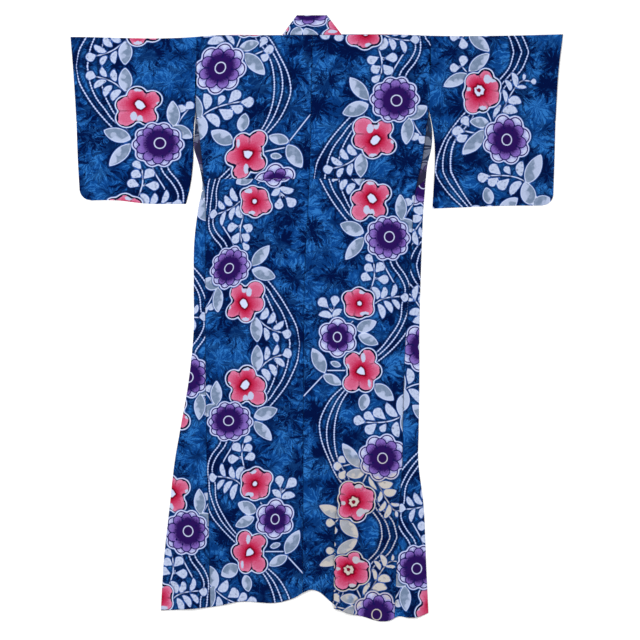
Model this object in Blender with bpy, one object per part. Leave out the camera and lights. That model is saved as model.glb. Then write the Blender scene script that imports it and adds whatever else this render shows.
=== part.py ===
"""A cotton yukata kimono laid flat on its front, with its back up.

Each length of cloth is an open sheet that follows how the cloth lies, folded where it folds, and a Solidify
modifier gives the sheet its thickness. Lengths are millimetres until the meshes are made. X runs across the
garment, Y up it towards the shoulders, and Z up from the floor. "Left" is the side at -X.
"""

import math
from collections import namedtuple

import bmesh
import bpy

MM = 0.001

# The cloth, and the heights of its layers' middles above the floor
CLOTH = 1.0
SEAM_GAP = 0.3
LAYER_STEP = CLOTH + SEAM_GAP
FLOOR_LAYER = CLOTH / 2
CROSSED_LAYER = FLOOR_LAYER + LAYER_STEP
BACK_LAYER = CROSSED_LAYER + LAYER_STEP
TURN_RADIUS = (BACK_LAYER - FLOOR_LAYER) / 2
TURN_STEPS = 4
TURN_INSET = TURN_RADIUS + CLOTH / 2
LEFT, RIGHT = -1, 1

# Lengths down the cloth from the shoulder line
SHOULDER_Y = 750.0
BODY_LENGTH = 1520.0
SLEEVE_SEAM_LENGTH = 199.0
WRAP_START = 376.0
WAIST_TUCK = 380.5
SIDE_OPENING_FOOT = 410.0
SHOULDER_BLEND = 80.0
HEM_WAVE_START = 1180.0

# The body: how far out its outline and its side seam lie from x = 0, and where the centre back seam runs
BodyRow = namedtuple("BodyRow", "down left_outer left_seam right_outer right_seam centre")
BODY_ROWS = (
    BodyRow(0, 317, 317, 303, 303, -11),
    BodyRow(199, 320, 320, 297, 297, -15),
    BodyRow(254, 321, 313, 306, 290, -16),
    BodyRow(300, 322, 307, 304, 284, -17),
    BodyRow(342, 310, 303, 294, 278, -18),
    BodyRow(400, 303, 298, 288, 264, -20),
    BodyRow(455, 313, 294, 283, 257, -23),
    BodyRow(542, 324, 294, 279, 252, -28),
    BodyRow(660, 326, 295, 275, 246, -33),
    BodyRow(779, 326, 295, 272, 237, -34),
    BodyRow(921, 340, 294, 272, 231, -35),
    BodyRow(1053, 363, 292, 270, 228, -36),
    BodyRow(1122, 375, 291, 269, 227, -36),
    BodyRow(1244, 389, 287, 283, 219, -36),
    BodyRow(1392, 405, 284, 290, 212, -37),
    BodyRow(1520, 413, 282, 296, 206, -37),
)

# The fronts: how far out each front's inner seam lies, and its overlap panel's free edge
FrontRow = namedtuple("FrontRow", "down left_seam left_edge right_seam right_edge")
FRONT_ROWS = (
    FrontRow(0, 92, -22, 67, -60),
    FrontRow(230, 74, -22, 45, -60),
    FrontRow(540, 90, -22, 43, -60),
    FrontRow(755, 103, -22, 48, -60),
    FrontRow(967, 145, 12, 57, -75),
    FrontRow(1100, 201, 60, 59, -81),
    FrontRow(1365, 273, 125, 121, -27),
    FrontRow(1520, 306, 156, 145, -6),
)
OVERLAP_START = 262.0

# The sleeves: their open inner edge below the seam to the body, and their cuff edge
SleeveInnerRow = namedtuple("SleeveInnerRow", "down left right")
SLEEVE_INNER_ROWS = (
    SleeveInnerRow(199, 320, 297),
    SleeveInnerRow(240, 325, 306),
    SleeveInnerRow(285, 326, 312),
    SleeveInnerRow(330, 327, 313),
    SleeveInnerRow(400, 335, 310),
    SleeveInnerRow(450, 347, 307),
)
CuffRow = namedtuple("CuffRow", "down left right")
CUFF_ROWS = (
    CuffRow(0, 652.4, 652),
    CuffRow(90, 645, 641),
    CuffRow(199, 638, 634),
    CuffRow(330, 633, 630),
    CuffRow(450, 626, 626),
)
CUFF_OPENING = 230.0
CUFF_PRESS_START = 150.0
CUFF_CORNER = 30.0

# Outlines across the garment
EdgePoint = namedtuple("EdgePoint", "x y")
TOP_EDGE = (
    EdgePoint(-652, 745),
    EdgePoint(-324, 745),
    EdgePoint(-290, 748),
    EdgePoint(-96, 750),
    EdgePoint(69, 752),
    EdgePoint(231, 751),
    EdgePoint(312, 748),
    EdgePoint(485, 748),
    EdgePoint(652, 752),
)
SLEEVE_FOOT = (
    EdgePoint(-628, 311),
    EdgePoint(-521, 311),
    EdgePoint(-461, 304),
    EdgePoint(-347, 302),
    EdgePoint(307, 290),
    EdgePoint(383, 293),
    EdgePoint(485, 297),
    EdgePoint(626, 298),
)
HEM = (
    EdgePoint(-413, -774),
    EdgePoint(-336, -770),
    EdgePoint(-262, -762),
    EdgePoint(-214, -752),
    EdgePoint(-87, -750),
    EdgePoint(-56, -739),
    EdgePoint(-36, -727),
    EdgePoint(-15, -719),
    EdgePoint(3, -723),
    EdgePoint(36, -750),
    EdgePoint(66, -774),
    EdgePoint(122, -790),
    EdgePoint(173, -803),
    EdgePoint(193, -801),
    EdgePoint(215, -790),
    EdgePoint(244, -793),
    EdgePoint(271, -791),
    EdgePoint(297, -780),
)

# The collar band, seen flat: its seam to the body and its free edge
COLLAR_END = 754.5
COLLAR_TOP_Y = 803.0
NECK_LEFT, NECK_RIGHT = -92.0, 67.0
NECK_TOP_LEFT, NECK_TOP_RIGHT = -52.0, 27.0
SEAM_END_LEFT, SEAM_END_RIGHT = -34.0, -5.0
EDGE_END_LEFT, EDGE_END_RIGHT = 22.0, -60.0
COLLAR_FOLD_TRIM = 1.6
COLLAR_CELLS = 4
NECK_CELLS = 5
CollarStation = namedtuple("CollarStation", "seam_down edge_down")
COLLAR_STATIONS = (
    CollarStation(COLLAR_END, COLLAR_END),
    CollarStation(660, 660),
    CollarStation(570, 570),
    CollarStation(480, 480),
    CollarStation(395, 395),
    CollarStation(310, 310),
    CollarStation(230, 230),
    CollarStation(150, 150),
    CollarStation(80, 66),
    CollarStation(38, 5),
    CollarStation(15, -28),
)

# The crossed fronts: how far past the left front's free edge the right one comes down to the floor
CROSSING_CLEARANCE = 10.0
CROSSING_RAMP = 26.0

# The back's relief: soft folds, the step of the waist tuck and the one steep fold at the lower right.
# A soft fold that ends below HEM_REACH_Y runs out through the hem.
FADE_FROM_FOLD = 40.0
BACK_PUFF = 1.2
TUCK_STEP = 0.8
TUCK_DEPTH = 35.0
SoftFold = namedtuple("SoftFold", "x0 y0 x1 y1 height width")
SOFT_FOLDS = (
    SoftFold(-230, 640, -180, 380, 2.6, 26),
    SoftFold(-120, 520, -150, 60, 2.2, 30),
    SoftFold(-255, 300, -240, -120, 3.0, 24),
    SoftFold(-100, -60, -130, -560, 3.2, 32),
    SoftFold(-290, -240, -330, -760, 4.2, 26),
    SoftFold(-215, -420, -235, -750, 2.6, 22),
    SoftFold(-36, -520, -20, -735, 3.6, 26),
    SoftFold(200, 650, 150, 400, 2.4, 26),
    SoftFold(90, 330, 60, -150, 2.6, 30),
    SoftFold(190, 260, 200, -180, 3.0, 26),
    SoftFold(140, -250, 170, -640, 3.0, 30),
    SoftFold(235, -340, 250, -770, 3.4, 22),
    SoftFold(-590, 660, -390, 420, 3.0, 30),
    SoftFold(-560, 400, -400, 340, 2.2, 24),
    SoftFold(600, 680, 400, 450, 3.0, 30),
    SoftFold(560, 380, 390, 330, 2.2, 24),
)
FOLD_END_SHARE = 0.3
HEM_REACH_Y = -700.0
RIDGE_FOOT_X = 46.0
RIDGE_CREST_X = 52.0
RIDGE_SLOPE = 62.0
RIDGE_HEIGHT = 9.0
RIDGE_START_Y = -330.0
RIDGE_GROWTH = 260.0

# Where the rows and columns of the sheets go
BODY_DOWNS = (
    0, 45, 110, 199, 254, 300, 342, 379.5, 381.5, 390, 400, 410, 455, 542, 620, 700, 779, 850, 921, 987,
    1053, 1122, 1183, 1244, 1318, 1392, 1456, 1520,
)
FRONT_FLAT_CELLS = 4
FRONT_EDGE_CELLS = TURN_STEPS + 2
EDGE_CELL = 0.8
BACK_NECK_CELLS = 2
BACK_EVEN_DOWN = 600.0
RIDGE_COLUMNS_START, RIDGE_COLUMNS_END = 850.0, 1053.0
RIDGE_COLUMNS = (-12, 12, 32, RIDGE_FOOT_X, RIDGE_CREST_X, 62, 78, 100, 124, 150, 173)
SLEEVE_ROW_SHARES = (0, 0.09, 0.22, 0.434, 0.515, 0.6, 0.7, 0.8, 0.88, 0.935, 0.965, 0.985, 1)
SLEEVE_COLUMN_SHARES = (0, 0.12, 0.25, 0.38, 0.51, 0.64, 0.76, 0.86, 0.94, 1)
SETTLING_PASSES = 4
OVERLAP_CELLS = 4

# Colours of the plain model
INDIGO = (0.013, 0.055, 0.22, 1)
DEEP_INDIGO = (0.006, 0.03, 0.13, 1)
PALE_INDIGO = (0.05, 0.13, 0.36, 1)
CLOTH_ROUGHNESS = 0.9


def at(rows, column, place):
    """A table's value at a place along its first column, straight between its rows."""
    if place <= rows[0][0]:
        return getattr(rows[0], column)
    for low, high in zip(rows, rows[1:]):
        if place <= high[0]:
            share = (place - low[0]) / (high[0] - low[0])
            return getattr(low, column) + share * (getattr(high, column) - getattr(low, column))
    return getattr(rows[-1], column)


def ease(share):
    """A smooth step from 0 to 1."""
    held = min(max(share, 0.0), 1.0)
    return held * held * (3 - 2 * held)


def between(first, last, share):
    """The value this share of the way from the first to the last."""
    return first + (last - first) * share


def side_name(side):
    return "left" if side == LEFT else "right"


def place_y(x, down):
    """Y of a point this far down the cloth: the rows follow the shoulder above and the hem's wave below."""
    top = (at(TOP_EDGE, "y", x) - SHOULDER_Y) * (1 - ease(down / SHOULDER_BLEND))
    wave = (at(HEM, "y", x) - SHOULDER_Y + BODY_LENGTH) * ease(
        (down - HEM_WAVE_START) / (BODY_LENGTH - HEM_WAVE_START)
    )
    return SHOULDER_Y - down + top + wave


def soft_folds(x, y):
    """Height of the soft folds: rounded ridges that fade at their ends, or run out through the hem."""
    height = 0.0
    for fold in SOFT_FOLDS:
        run_x, run_y = fold.x1 - fold.x0, fold.y1 - fold.y0
        run = math.hypot(run_x, run_y)
        along = ((x - fold.x0) * run_x + (y - fold.y0) * run_y) / run
        across = ((x - fold.x0) * run_y - (y - fold.y0) * run_x) / run
        ends = ease(along / (FOLD_END_SHARE * run))
        if fold.y1 > HEM_REACH_Y:
            ends *= ease((run - along) / (FOLD_END_SHARE * run))
        height += fold.height * ends * math.exp(-((across / fold.width) ** 2))
    return height


def steep_fold(x, y):
    """Height of the lower right fold, steep on its left flank and long on its right."""
    grown = ease((RIDGE_START_Y - y) / RIDGE_GROWTH)
    if x < RIDGE_CREST_X:
        profile = ease((x - RIDGE_FOOT_X) / (RIDGE_CREST_X - RIDGE_FOOT_X))
    else:
        profile = 1 - ease((x - RIDGE_CREST_X) / RIDGE_SLOPE)
    return RIDGE_HEIGHT * grown * profile


def relief(x, y):
    """Height of the back's cloth above its layer, away from the folded edges."""
    return BACK_PUFF + soft_folds(x, y) + steep_fold(x, y)


def tuck(down):
    """The cloth above the waist tuck lies over the cloth below it."""
    if down > WAIST_TUCK:
        return 0.0
    return TUCK_STEP * (1 - ease((WAIST_TUCK - down) / TUCK_DEPTH))


def body_lift(side, out, down):
    """Height of a back point of the body, nothing along the shoulder and side folds."""
    x = side * out
    y = place_y(x, down)
    outer = at(BODY_ROWS, side_name(side) + "_outer", down)
    shoulder = ease((at(TOP_EDGE, "y", x) - TURN_INSET - y) / FADE_FROM_FOLD)
    from_side = ease((outer - TURN_INSET - out) / FADE_FROM_FOLD)
    folded = ease((down - SLEEVE_SEAM_LENGTH) / (SIDE_OPENING_FOOT - SLEEVE_SEAM_LENGTH))
    return shoulder * between(1, from_side, folded) * (relief(x, y) + tuck(down))


def left_free_edge(down):
    """X of the left front's free edge: the collar's above its end, the overlap panel's below."""
    if down < COLLAR_END:
        return collar_edge_x(LEFT, down)
    return -at(FRONT_ROWS, "left_edge", down)


def front_layer(side, x, down):
    """Height of a front's middle: the right one rises to lie on the left one."""
    if side == LEFT:
        return FLOOR_LAYER
    past = (x - left_free_edge(down) - CROSSING_CLEARANCE) / CROSSING_RAMP
    return between(CROSSED_LAYER, FLOOR_LAYER, ease(past))


def collar_seam_x(side, down):
    start, end = (NECK_LEFT, SEAM_END_LEFT) if side == LEFT else (NECK_RIGHT, SEAM_END_RIGHT)
    return between(start, end, down / COLLAR_END)


def collar_edge_x(side, down):
    start, end = (NECK_TOP_LEFT, EDGE_END_LEFT) if side == LEFT else (NECK_TOP_RIGHT, EDGE_END_RIGHT)
    rise = COLLAR_TOP_Y - SHOULDER_Y
    return between(start, end, (down + rise) / (COLLAR_END + rise))


class Sheet:
    """An open sheet of quads, built up from grids and from the turns that join them."""

    def __init__(self):
        self.points = []
        self.quads = []

    def add(self, point):
        self.points.append(point)
        return len(self.points) - 1

    def grid(self, rows):
        """Adds rows of points, where None leaves a hole, and returns their indices."""
        indices = [[None if point is None else self.add(point) for point in row] for row in rows]
        self.weave(indices)
        return indices

    def weave(self, indices):
        for above, below in zip(indices, indices[1:]):
            for column in range(len(above) - 1):
                corners = (above[column], above[column + 1], below[column + 1], below[column])
                if None not in corners:
                    self.quads.append(corners)

    def turn(self, lower, upper, outward):
        """Joins two chains of points, one above the other, round a half circle."""
        strips = [lower]
        for step in range(1, TURN_STEPS):
            angle = math.pi * step / TURN_STEPS
            strip = []
            for first, last, (out_x, out_y) in zip(lower, upper, outward):
                low, high = self.points[first], self.points[last]
                radius = (high[2] - low[2]) / 2
                reach = radius * math.sin(angle)
                height = (low[2] + high[2]) / 2 - radius * math.cos(angle)
                strip.append(self.add((low[0] + out_x * reach, low[1] + out_y * reach, height)))
            strips.append(strip)
        strips.append(upper)
        self.weave(strips)

    def make(self, name, colour):
        """Makes the object: the sheet in metres, thickened on both sides by Solidify."""
        mesh = bpy.data.meshes.new(name)
        shape = bmesh.new()
        corners = [shape.verts.new([value * MM for value in point]) for point in self.points]
        for quad in self.quads:
            shape.faces.new([corners[index] for index in quad])
        bmesh.ops.recalc_face_normals(shape, faces=shape.faces)
        shape.to_mesh(mesh)
        shape.free()
        mesh.shade_smooth()
        mesh.materials.append(cloth_material(name, colour))
        piece = bpy.data.objects.new(name, mesh)
        bpy.context.scene.collection.objects.link(piece)
        solidify = piece.modifiers.new("cloth", "SOLIDIFY")
        solidify.thickness = CLOTH * MM
        solidify.offset = 0
        return piece


def cloth_material(name, colour):
    material = bpy.data.materials.new(name + "_cloth")
    material.use_nodes = True
    shader = material.node_tree.nodes["Principled BSDF"]
    shader.inputs["Base Color"].default_value = colour
    shader.inputs["Roughness"].default_value = CLOTH_ROUGHNESS
    shader.inputs["Metallic"].default_value = 0
    return material


def back_columns(side, down):
    """How far out each column of a back row lies: under the neck above, even below, or close at the ridge."""
    name = side_name(side)
    inner = side * at(BODY_ROWS, "centre", down) + SEAM_GAP / 2
    outer = at(BODY_ROWS, name + "_seam", down) - SEAM_GAP / 2
    neck = at(FRONT_ROWS, name + "_seam", 0) + SEAM_GAP / 2
    beyond = FRONT_FLAT_CELLS + FRONT_EDGE_CELLS
    cells = BACK_NECK_CELLS + beyond
    above = [between(inner, neck, step / BACK_NECK_CELLS) for step in range(BACK_NECK_CELLS)]
    above += [between(neck, outer, step / beyond) for step in range(beyond + 1)]
    even = [between(inner, outer, step / cells) for step in range(cells + 1)]
    columns = [between(a, b, ease(down / BACK_EVEN_DOWN)) for a, b in zip(above, even)]
    if side == RIGHT:
        ridge = [inner, *RIDGE_COLUMNS, outer]
        share = ease((down - RIDGE_COLUMNS_START) / (RIDGE_COLUMNS_END - RIDGE_COLUMNS_START))
        columns = [between(a, b, share) for a, b in zip(columns, ridge)]
    return columns


def back_row(side, down):
    row = []
    for out in back_columns(side, down):
        x = side * out
        row.append((x, place_y(x, down), BACK_LAYER + body_lift(side, out, down)))
    return row


def shoulder_back_row(side):
    """The back's first row: sewn to the collar at the neck, and turned over the shoulder beyond it."""
    row = []
    for column, out in enumerate(back_columns(side, 0)):
        x = side * out
        y = at(TOP_EDGE, "y", x) - TURN_INSET
        if column < BACK_NECK_CELLS:
            y = SHOULDER_Y - SEAM_GAP / 2
        row.append((x, y, BACK_LAYER))
    return row


def front_row(side, down):
    """A row of the front: flat from its inner seam to the side, then round the side fold onto the back."""
    name = side_name(side)
    inner = at(FRONT_ROWS, name + "_seam", down) + SEAM_GAP / 2
    outer = at(BODY_ROWS, name + "_outer", down)
    fold = outer - TURN_INSET
    flat = fold - inner
    arc = math.pi * TURN_RADIUS
    open_length = outer - SEAM_GAP / 2 - inner
    wrapped_length = flat + arc + fold - at(BODY_ROWS, name + "_seam", down) - SEAM_GAP / 2
    wrap = ease((down - WRAP_START) / (SIDE_OPENING_FOOT - WRAP_START))
    length = between(open_length, wrapped_length, wrap)
    cells = FRONT_FLAT_CELLS + FRONT_EDGE_CELLS
    if wrap == 1:
        stations = [flat * step / FRONT_FLAT_CELLS for step in range(FRONT_FLAT_CELLS)]
        stations += [flat + arc * step / TURN_STEPS for step in range(TURN_STEPS + 1)]
        stations += [between(flat + arc, length, 0.5), length]
    else:
        start = min(flat, length - FRONT_EDGE_CELLS * EDGE_CELL)
        stations = [start * step / FRONT_FLAT_CELLS for step in range(FRONT_FLAT_CELLS)]
        stations += [between(start, length, step / FRONT_EDGE_CELLS) for step in range(FRONT_EDGE_CELLS + 1)]
        even = [length * step / cells for step in range(cells + 1)]
        gathered = ease(down / WRAP_START)
        stations = [between(a, b, gathered) for a, b in zip(even, stations)]
    row = []
    for station in stations:
        if station <= flat:
            out = inner + station
            z = front_layer(side, side * out, down)
        elif station < flat + arc:
            angle = (station - flat) / TURN_RADIUS
            out = fold + TURN_RADIUS * math.sin(angle)
            z = FLOOR_LAYER + TURN_RADIUS * (1 - math.cos(angle))
        else:
            out = fold - (station - flat - arc)
            z = BACK_LAYER + body_lift(side, out, down)
        y = place_y(side * out, down) if down else at(TOP_EDGE, "y", side * out) - TURN_INSET
        row.append((side * out, y, z))
    return row


def body(side):
    """Half of the body: the back, over the shoulder to the front, and round the side to the back again."""
    sheet = Sheet()
    back = sheet.grid([shoulder_back_row(side)] + [back_row(side, down) for down in BODY_DOWNS[1:]])
    front = sheet.grid([front_row(side, down) for down in BODY_DOWNS])
    shoulder = back[0][BACK_NECK_CELLS:]
    sheet.turn(front[0], shoulder, [(0, 1)] * len(shoulder))
    return sheet


def sleeve_inner(side, down):
    if down <= SLEEVE_SEAM_LENGTH:
        return at(BODY_ROWS, side_name(side) + "_outer", down) + SEAM_GAP / 2
    return at(SLEEVE_INNER_ROWS, side_name(side), down) + SEAM_GAP / 2


def sleeve_cuff(side, down, foot_down):
    """How far out the cuff lies, drawn in round the lower corner."""
    out = at(CUFF_ROWS, side_name(side), down)
    into_corner = min(max(CUFF_CORNER - (foot_down - down), 0), CUFF_CORNER)
    return out - CUFF_CORNER + math.sqrt(CUFF_CORNER**2 - into_corner**2)


def sleeve_outline(side):
    """The sleeve's plan: rows of points from the armhole out to the cuff.

    A point's height depends on how far out it lies and the other way round, so a few passes settle both.
    """
    rows = []
    for row_share in SLEEVE_ROW_SHARES:
        row = []
        for column_share in SLEEVE_COLUMN_SHARES:
            x = side * between(CUFF_ROWS[-1].left / 2, CUFF_ROWS[-1].left, column_share)
            for _ in range(SETTLING_PASSES):
                top, foot = at(TOP_EDGE, "y", x), at(SLEEVE_FOOT, "y", x)
                y = between(top, foot, row_share)
                down = SHOULDER_Y - y
                inner = sleeve_inner(side, down)
                cuff = sleeve_cuff(side, down, SHOULDER_Y - foot)
                x = side * between(inner, cuff, column_share)
            row.append((x, y))
        rows.append(row)
    return rows


def outward_normals(chain, centre):
    """For each point of an outline chain, the unit normal that points away from the centre."""
    normals = []
    for place, (x, y) in enumerate(chain):
        before = chain[max(place - 1, 0)]
        after = chain[min(place + 1, len(chain) - 1)]
        normal_x, normal_y = after[1] - before[1], before[0] - after[0]
        size = math.hypot(normal_x, normal_y)
        if normal_x * (x - centre[0]) + normal_y * (y - centre[1]) < 0:
            size = -size
        normals.append((normal_x / size, normal_y / size))
    return normals


def sleeve_lift(side, x, y):
    """Height of a back point of a sleeve, nothing along its folded edges."""
    down = SHOULDER_Y - y
    top = at(TOP_EDGE, "y", x) - TURN_INSET - y
    foot = y - at(SLEEVE_FOOT, "y", x) - TURN_INSET
    cuff = at(CUFF_ROWS, side_name(side), down) - TURN_INSET - abs(x)
    closed = ease((down - CUFF_PRESS_START) / (CUFF_OPENING - CUFF_PRESS_START))
    pressed = ease(top / FADE_FROM_FOLD) * ease(foot / FADE_FROM_FOLD)
    return pressed * between(1, ease(cuff / FADE_FROM_FOLD), closed) * relief(x, y)


def sleeve(side):
    """A sleeve: a front and a back layer, turned at the shoulder, the foot and the lower cuff."""
    plan = sleeve_outline(side)
    last_row, last_column = len(plan) - 1, len(plan[0]) - 1
    centre = plan[last_row // 2][last_column // 2]
    closed_from = next(row for row in range(last_row) if plan[row][last_column][1] < SHOULDER_Y - CUFF_OPENING)
    top = [(0, column) for column in range(last_column + 1)]
    around = [(row, last_column) for row in range(closed_from, last_row)]
    around += [(last_row, column) for column in range(last_column, -1, -1)]
    turned = {}
    for chain in (top, around):
        normals = outward_normals([plan[row][column] for row, column in chain], centre)
        turned.update(zip(chain, normals))
    for (row, column), (normal_x, normal_y) in turned.items():
        x, y = plan[row][column]
        plan[row][column] = (x - normal_x * TURN_INSET, y - normal_y * TURN_INSET)
    sheet = Sheet()
    front = sheet.grid([[(x, y, FLOOR_LAYER) for x, y in row] for row in plan])
    back = sheet.grid([[(x, y, BACK_LAYER + sleeve_lift(side, x, y)) for x, y in row] for row in plan])
    for chain in (top, around):
        lower = [front[row][column] for row, column in chain]
        upper = [back[row][column] for row, column in chain]
        sheet.turn(lower, upper, [turned[place] for place in chain])
    return sheet


def overlap_columns(side, down, inner, outer):
    """Columns of an overlap panel: even on the left, and on the right at the foot and head of the crossing."""
    if side == LEFT:
        return [between(inner, outer, step / OVERLAP_CELLS) for step in range(OVERLAP_CELLS + 1)]
    columns = [inner]
    for step in range(1, OVERLAP_CELLS):
        ramp_share = (step - 1) / (OVERLAP_CELLS - 2)
        mark = left_free_edge(down) + CROSSING_CLEARANCE + CROSSING_RAMP * ramp_share
        room = (outer - inner) / (3 * OVERLAP_CELLS)
        columns.append(min(max(mark, inner + step * room), outer - (OVERLAP_CELLS - step) * room))
    return columns + [outer]


def overlap(side):
    """An overlap panel: from the front's seam to the collar above, and to its own free edge below."""
    name = side_name(side)
    downs = [OVERLAP_START] + [down for down in BODY_DOWNS if OVERLAP_START < down < COLLAR_END]
    downs += [COLLAR_END + SEAM_GAP, COLLAR_END + 3 * SEAM_GAP]
    downs += [down for down in BODY_DOWNS if down > COLLAR_END + 3 * SEAM_GAP]
    rows = []
    for down in downs:
        outer = at(FRONT_ROWS, name + "_seam", down) - SEAM_GAP / 2
        if down <= COLLAR_END + SEAM_GAP:
            inner = side * collar_seam_x(side, down) + SEAM_GAP / 2
        else:
            inner = at(FRONT_ROWS, name + "_edge", down)
        row = []
        for out in overlap_columns(side, down, inner, outer):
            x = side * out
            row.append((x, place_y(x, down), front_layer(side, x, down)))
        rows.append(row)
    sheet = Sheet()
    sheet.grid(rows)
    return sheet


def collar_fold(side):
    """The diagonal line where the collar turns over at the neck, with its outward normal."""
    base_x = NECK_LEFT if side == LEFT else NECK_RIGHT
    top_x = NECK_TOP_LEFT if side == LEFT else NECK_TOP_RIGHT
    run_x, run_y = top_x - base_x, COLLAR_TOP_Y - SHOULDER_Y
    run = math.hypot(run_x, run_y)
    start = (base_x + run_x / run * COLLAR_FOLD_TRIM, SHOULDER_Y + run_y / run * COLLAR_FOLD_TRIM)
    outward = (side * run_y / run, abs(run_x) / run)
    line = []
    for step in range(COLLAR_CELLS + 1):
        x = between(start[0], top_x, step / COLLAR_CELLS) - outward[0] * TURN_INSET
        y = between(start[1], COLLAR_TOP_Y, step / COLLAR_CELLS) - outward[1] * TURN_INSET
        line.append((x, y))
    return line, [outward] * len(line)


def collar_front(side):
    """Rows of the collar's front band, from its end up to the row before the fold."""
    rows = []
    for station in COLLAR_STATIONS:
        seam_x = collar_seam_x(side, station.seam_down) - side * SEAM_GAP / 2
        edge_x = collar_edge_x(side, station.edge_down)
        row = []
        for step in range(COLLAR_CELLS + 1):
            x = between(seam_x, edge_x, step / COLLAR_CELLS)
            down = between(station.seam_down, station.edge_down, step / COLLAR_CELLS)
            row.append((x, SHOULDER_Y - down, front_layer(side, x, down)))
        rows.append(row)
    return rows


def collar():
    """The collar band: two fronts beneath, and the back of the neck between its diagonal folds."""
    sheet = Sheet()
    fold_lines = []
    for side in (LEFT, RIGHT):
        line, outward = collar_fold(side)
        fold_row = [(x, y, FLOOR_LAYER) for x, y in line]
        front = sheet.grid(collar_front(side) + [fold_row])
        upper = [sheet.add((x, y, BACK_LAYER)) for x, y in line]
        sheet.turn(front[-1], upper, outward)
        fold_lines.append(upper)
    left, right = fold_lines
    neck = [left]
    for step in range(1, NECK_CELLS):
        share = step / NECK_CELLS
        strip = []
        for first, last in zip(left, right):
            low, high = sheet.points[first], sheet.points[last]
            strip.append(sheet.add([between(a, b, share) for a, b in zip(low, high)]))
        neck.append(strip)
    neck.append(right)
    sheet.weave(neck)
    return sheet


def main():
    for item in list(bpy.data.objects):
        bpy.data.objects.remove(item)
    body(LEFT).make("body_left", INDIGO)
    body(RIGHT).make("body_right", INDIGO)
    sleeve(LEFT).make("sleeve_left", PALE_INDIGO)
    sleeve(RIGHT).make("sleeve_right", PALE_INDIGO)
    overlap(LEFT).make("overlap_left", DEEP_INDIGO)
    overlap(RIGHT).make("overlap_right", DEEP_INDIGO)
    collar().make("collar", DEEP_INDIGO)


main()
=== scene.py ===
"""The looks of a cotton yukata kimono, laid flat on its front with its back up.

The settings are metres. The tables and surfaces below are millimetres, as in the part's source: X runs across
the garment, Y up it towards the shoulders and Z up from the floor. The print has its own pixels, each
PRINT_MM of cloth, with U across the cloth and V along it.
"""

import math

import bmesh
import bpy
import numpy as np
from bpy.props import FloatProperty, FloatVectorProperty, PointerProperty
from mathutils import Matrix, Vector


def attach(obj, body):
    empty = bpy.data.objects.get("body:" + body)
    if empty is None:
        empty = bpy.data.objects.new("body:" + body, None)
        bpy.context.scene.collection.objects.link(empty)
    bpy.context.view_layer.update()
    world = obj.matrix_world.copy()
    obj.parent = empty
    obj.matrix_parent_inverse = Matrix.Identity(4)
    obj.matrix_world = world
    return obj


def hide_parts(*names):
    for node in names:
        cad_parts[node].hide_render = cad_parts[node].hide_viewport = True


bl_info = {
    "name": "Cotton Yukata",
    "version": (1, 0, 0),
    "blender": (4, 5, 0),
    "location": "View3D > Sidebar > Yukata",
    "description": "Builds a printed cotton yukata, laid flat with its back up",
    "category": "Object",
}

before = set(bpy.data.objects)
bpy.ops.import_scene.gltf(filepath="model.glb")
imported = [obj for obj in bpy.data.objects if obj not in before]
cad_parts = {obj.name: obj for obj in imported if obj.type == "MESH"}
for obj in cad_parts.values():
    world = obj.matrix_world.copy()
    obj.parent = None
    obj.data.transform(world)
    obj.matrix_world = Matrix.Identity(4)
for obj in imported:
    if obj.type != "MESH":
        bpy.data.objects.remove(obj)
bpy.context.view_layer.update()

MM = 0.001
LEFT, RIGHT = -1, 1
SIDE_NAME = {LEFT: "left", RIGHT: "right"}

# Heights of the layers' middles, and the lengths that the part's solids are made from
SEAM_GAP = 0.3
FLOOR_LAYER = 0.5
CROSSED_LAYER = 1.8
BACK_LAYER = 3.1
# Anything above this belongs to the back
BACK_FROM = BACK_LAYER - 0.5
TURN_RADIUS = (BACK_LAYER - FLOOR_LAYER) / 2
TURN_STEPS = 6
TURN_INSET = TURN_RADIUS + 0.5
SHOULDER_Y = 750.0
BODY_LENGTH = 1520.0
SLEEVE_SEAM_LENGTH = 199.0
WRAP_START = 376.0
WAIST_TUCK = 380.5
SIDE_OPENING_FOOT = 410.0
SHOULDER_BLEND = 80.0
HEM_WAVE_START = 1180.0


def columns(names, *rows):
    """A table of rows as one array per column name; the first column is the place."""
    return dict(zip(names.split(), np.array(rows, float).T))


BODY = columns(
    "down left_outer left_seam right_outer right_seam centre",
    (0, 317, 317, 303, 303, -11),
    (199, 320, 320, 297, 297, -15),
    (254, 323.5, 313, 306, 290, -16),
    (300, 325, 307, 304, 284, -17),
    (342, 313, 303, 294, 278, -18),
    (400, 303, 298, 288, 264, -20),
    (455, 313, 294, 283, 257, -23),
    (542, 324, 294, 279, 252, -28),
    (660, 326, 295, 275, 246, -33),
    (779, 326, 295, 272, 237, -34),
    (921, 340, 294, 272, 231, -35),
    (1053, 363, 292, 270, 228, -36),
    (1122, 375, 291, 269, 227, -36),
    (1244, 389, 287, 283, 219, -36),
    (1392, 405, 284, 290, 212, -37),
    (1520, 413, 282, 296, 206, -37),
)
FRONT = columns(
    "down left_seam left_edge right_seam right_edge",
    (0, 92, -22, 67, -60),
    (230, 74, -22, 45, -60),
    (540, 90, -22, 43, -60),
    (755, 103, -22, 48, -60),
    (967, 145, 12, 57, -75),
    (1100, 201, 60, 59, -81),
    (1365, 273, 125, 121, -27),
    (1520, 306, 156, 145, -6),
)
SLEEVE_INNER = columns(
    "down left right",
    (199, 320, 297),
    (240, 325, 306),
    (285, 326, 312),
    (330, 327, 313),
    (400, 335, 310),
    (450, 347, 307),
)
CUFF = columns(
    "down left right",
    (0, 652.4, 652),
    (90, 645, 641),
    (199, 638, 634),
    (330, 633, 630),
    (450, 626, 626),
)
TOP_EDGE = columns(
    "x y",
    (-652, 745), (-324, 745), (-290, 748), (-96, 750), (69, 752), (231, 751), (312, 748), (485, 748),
    (652, 752),
)
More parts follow.
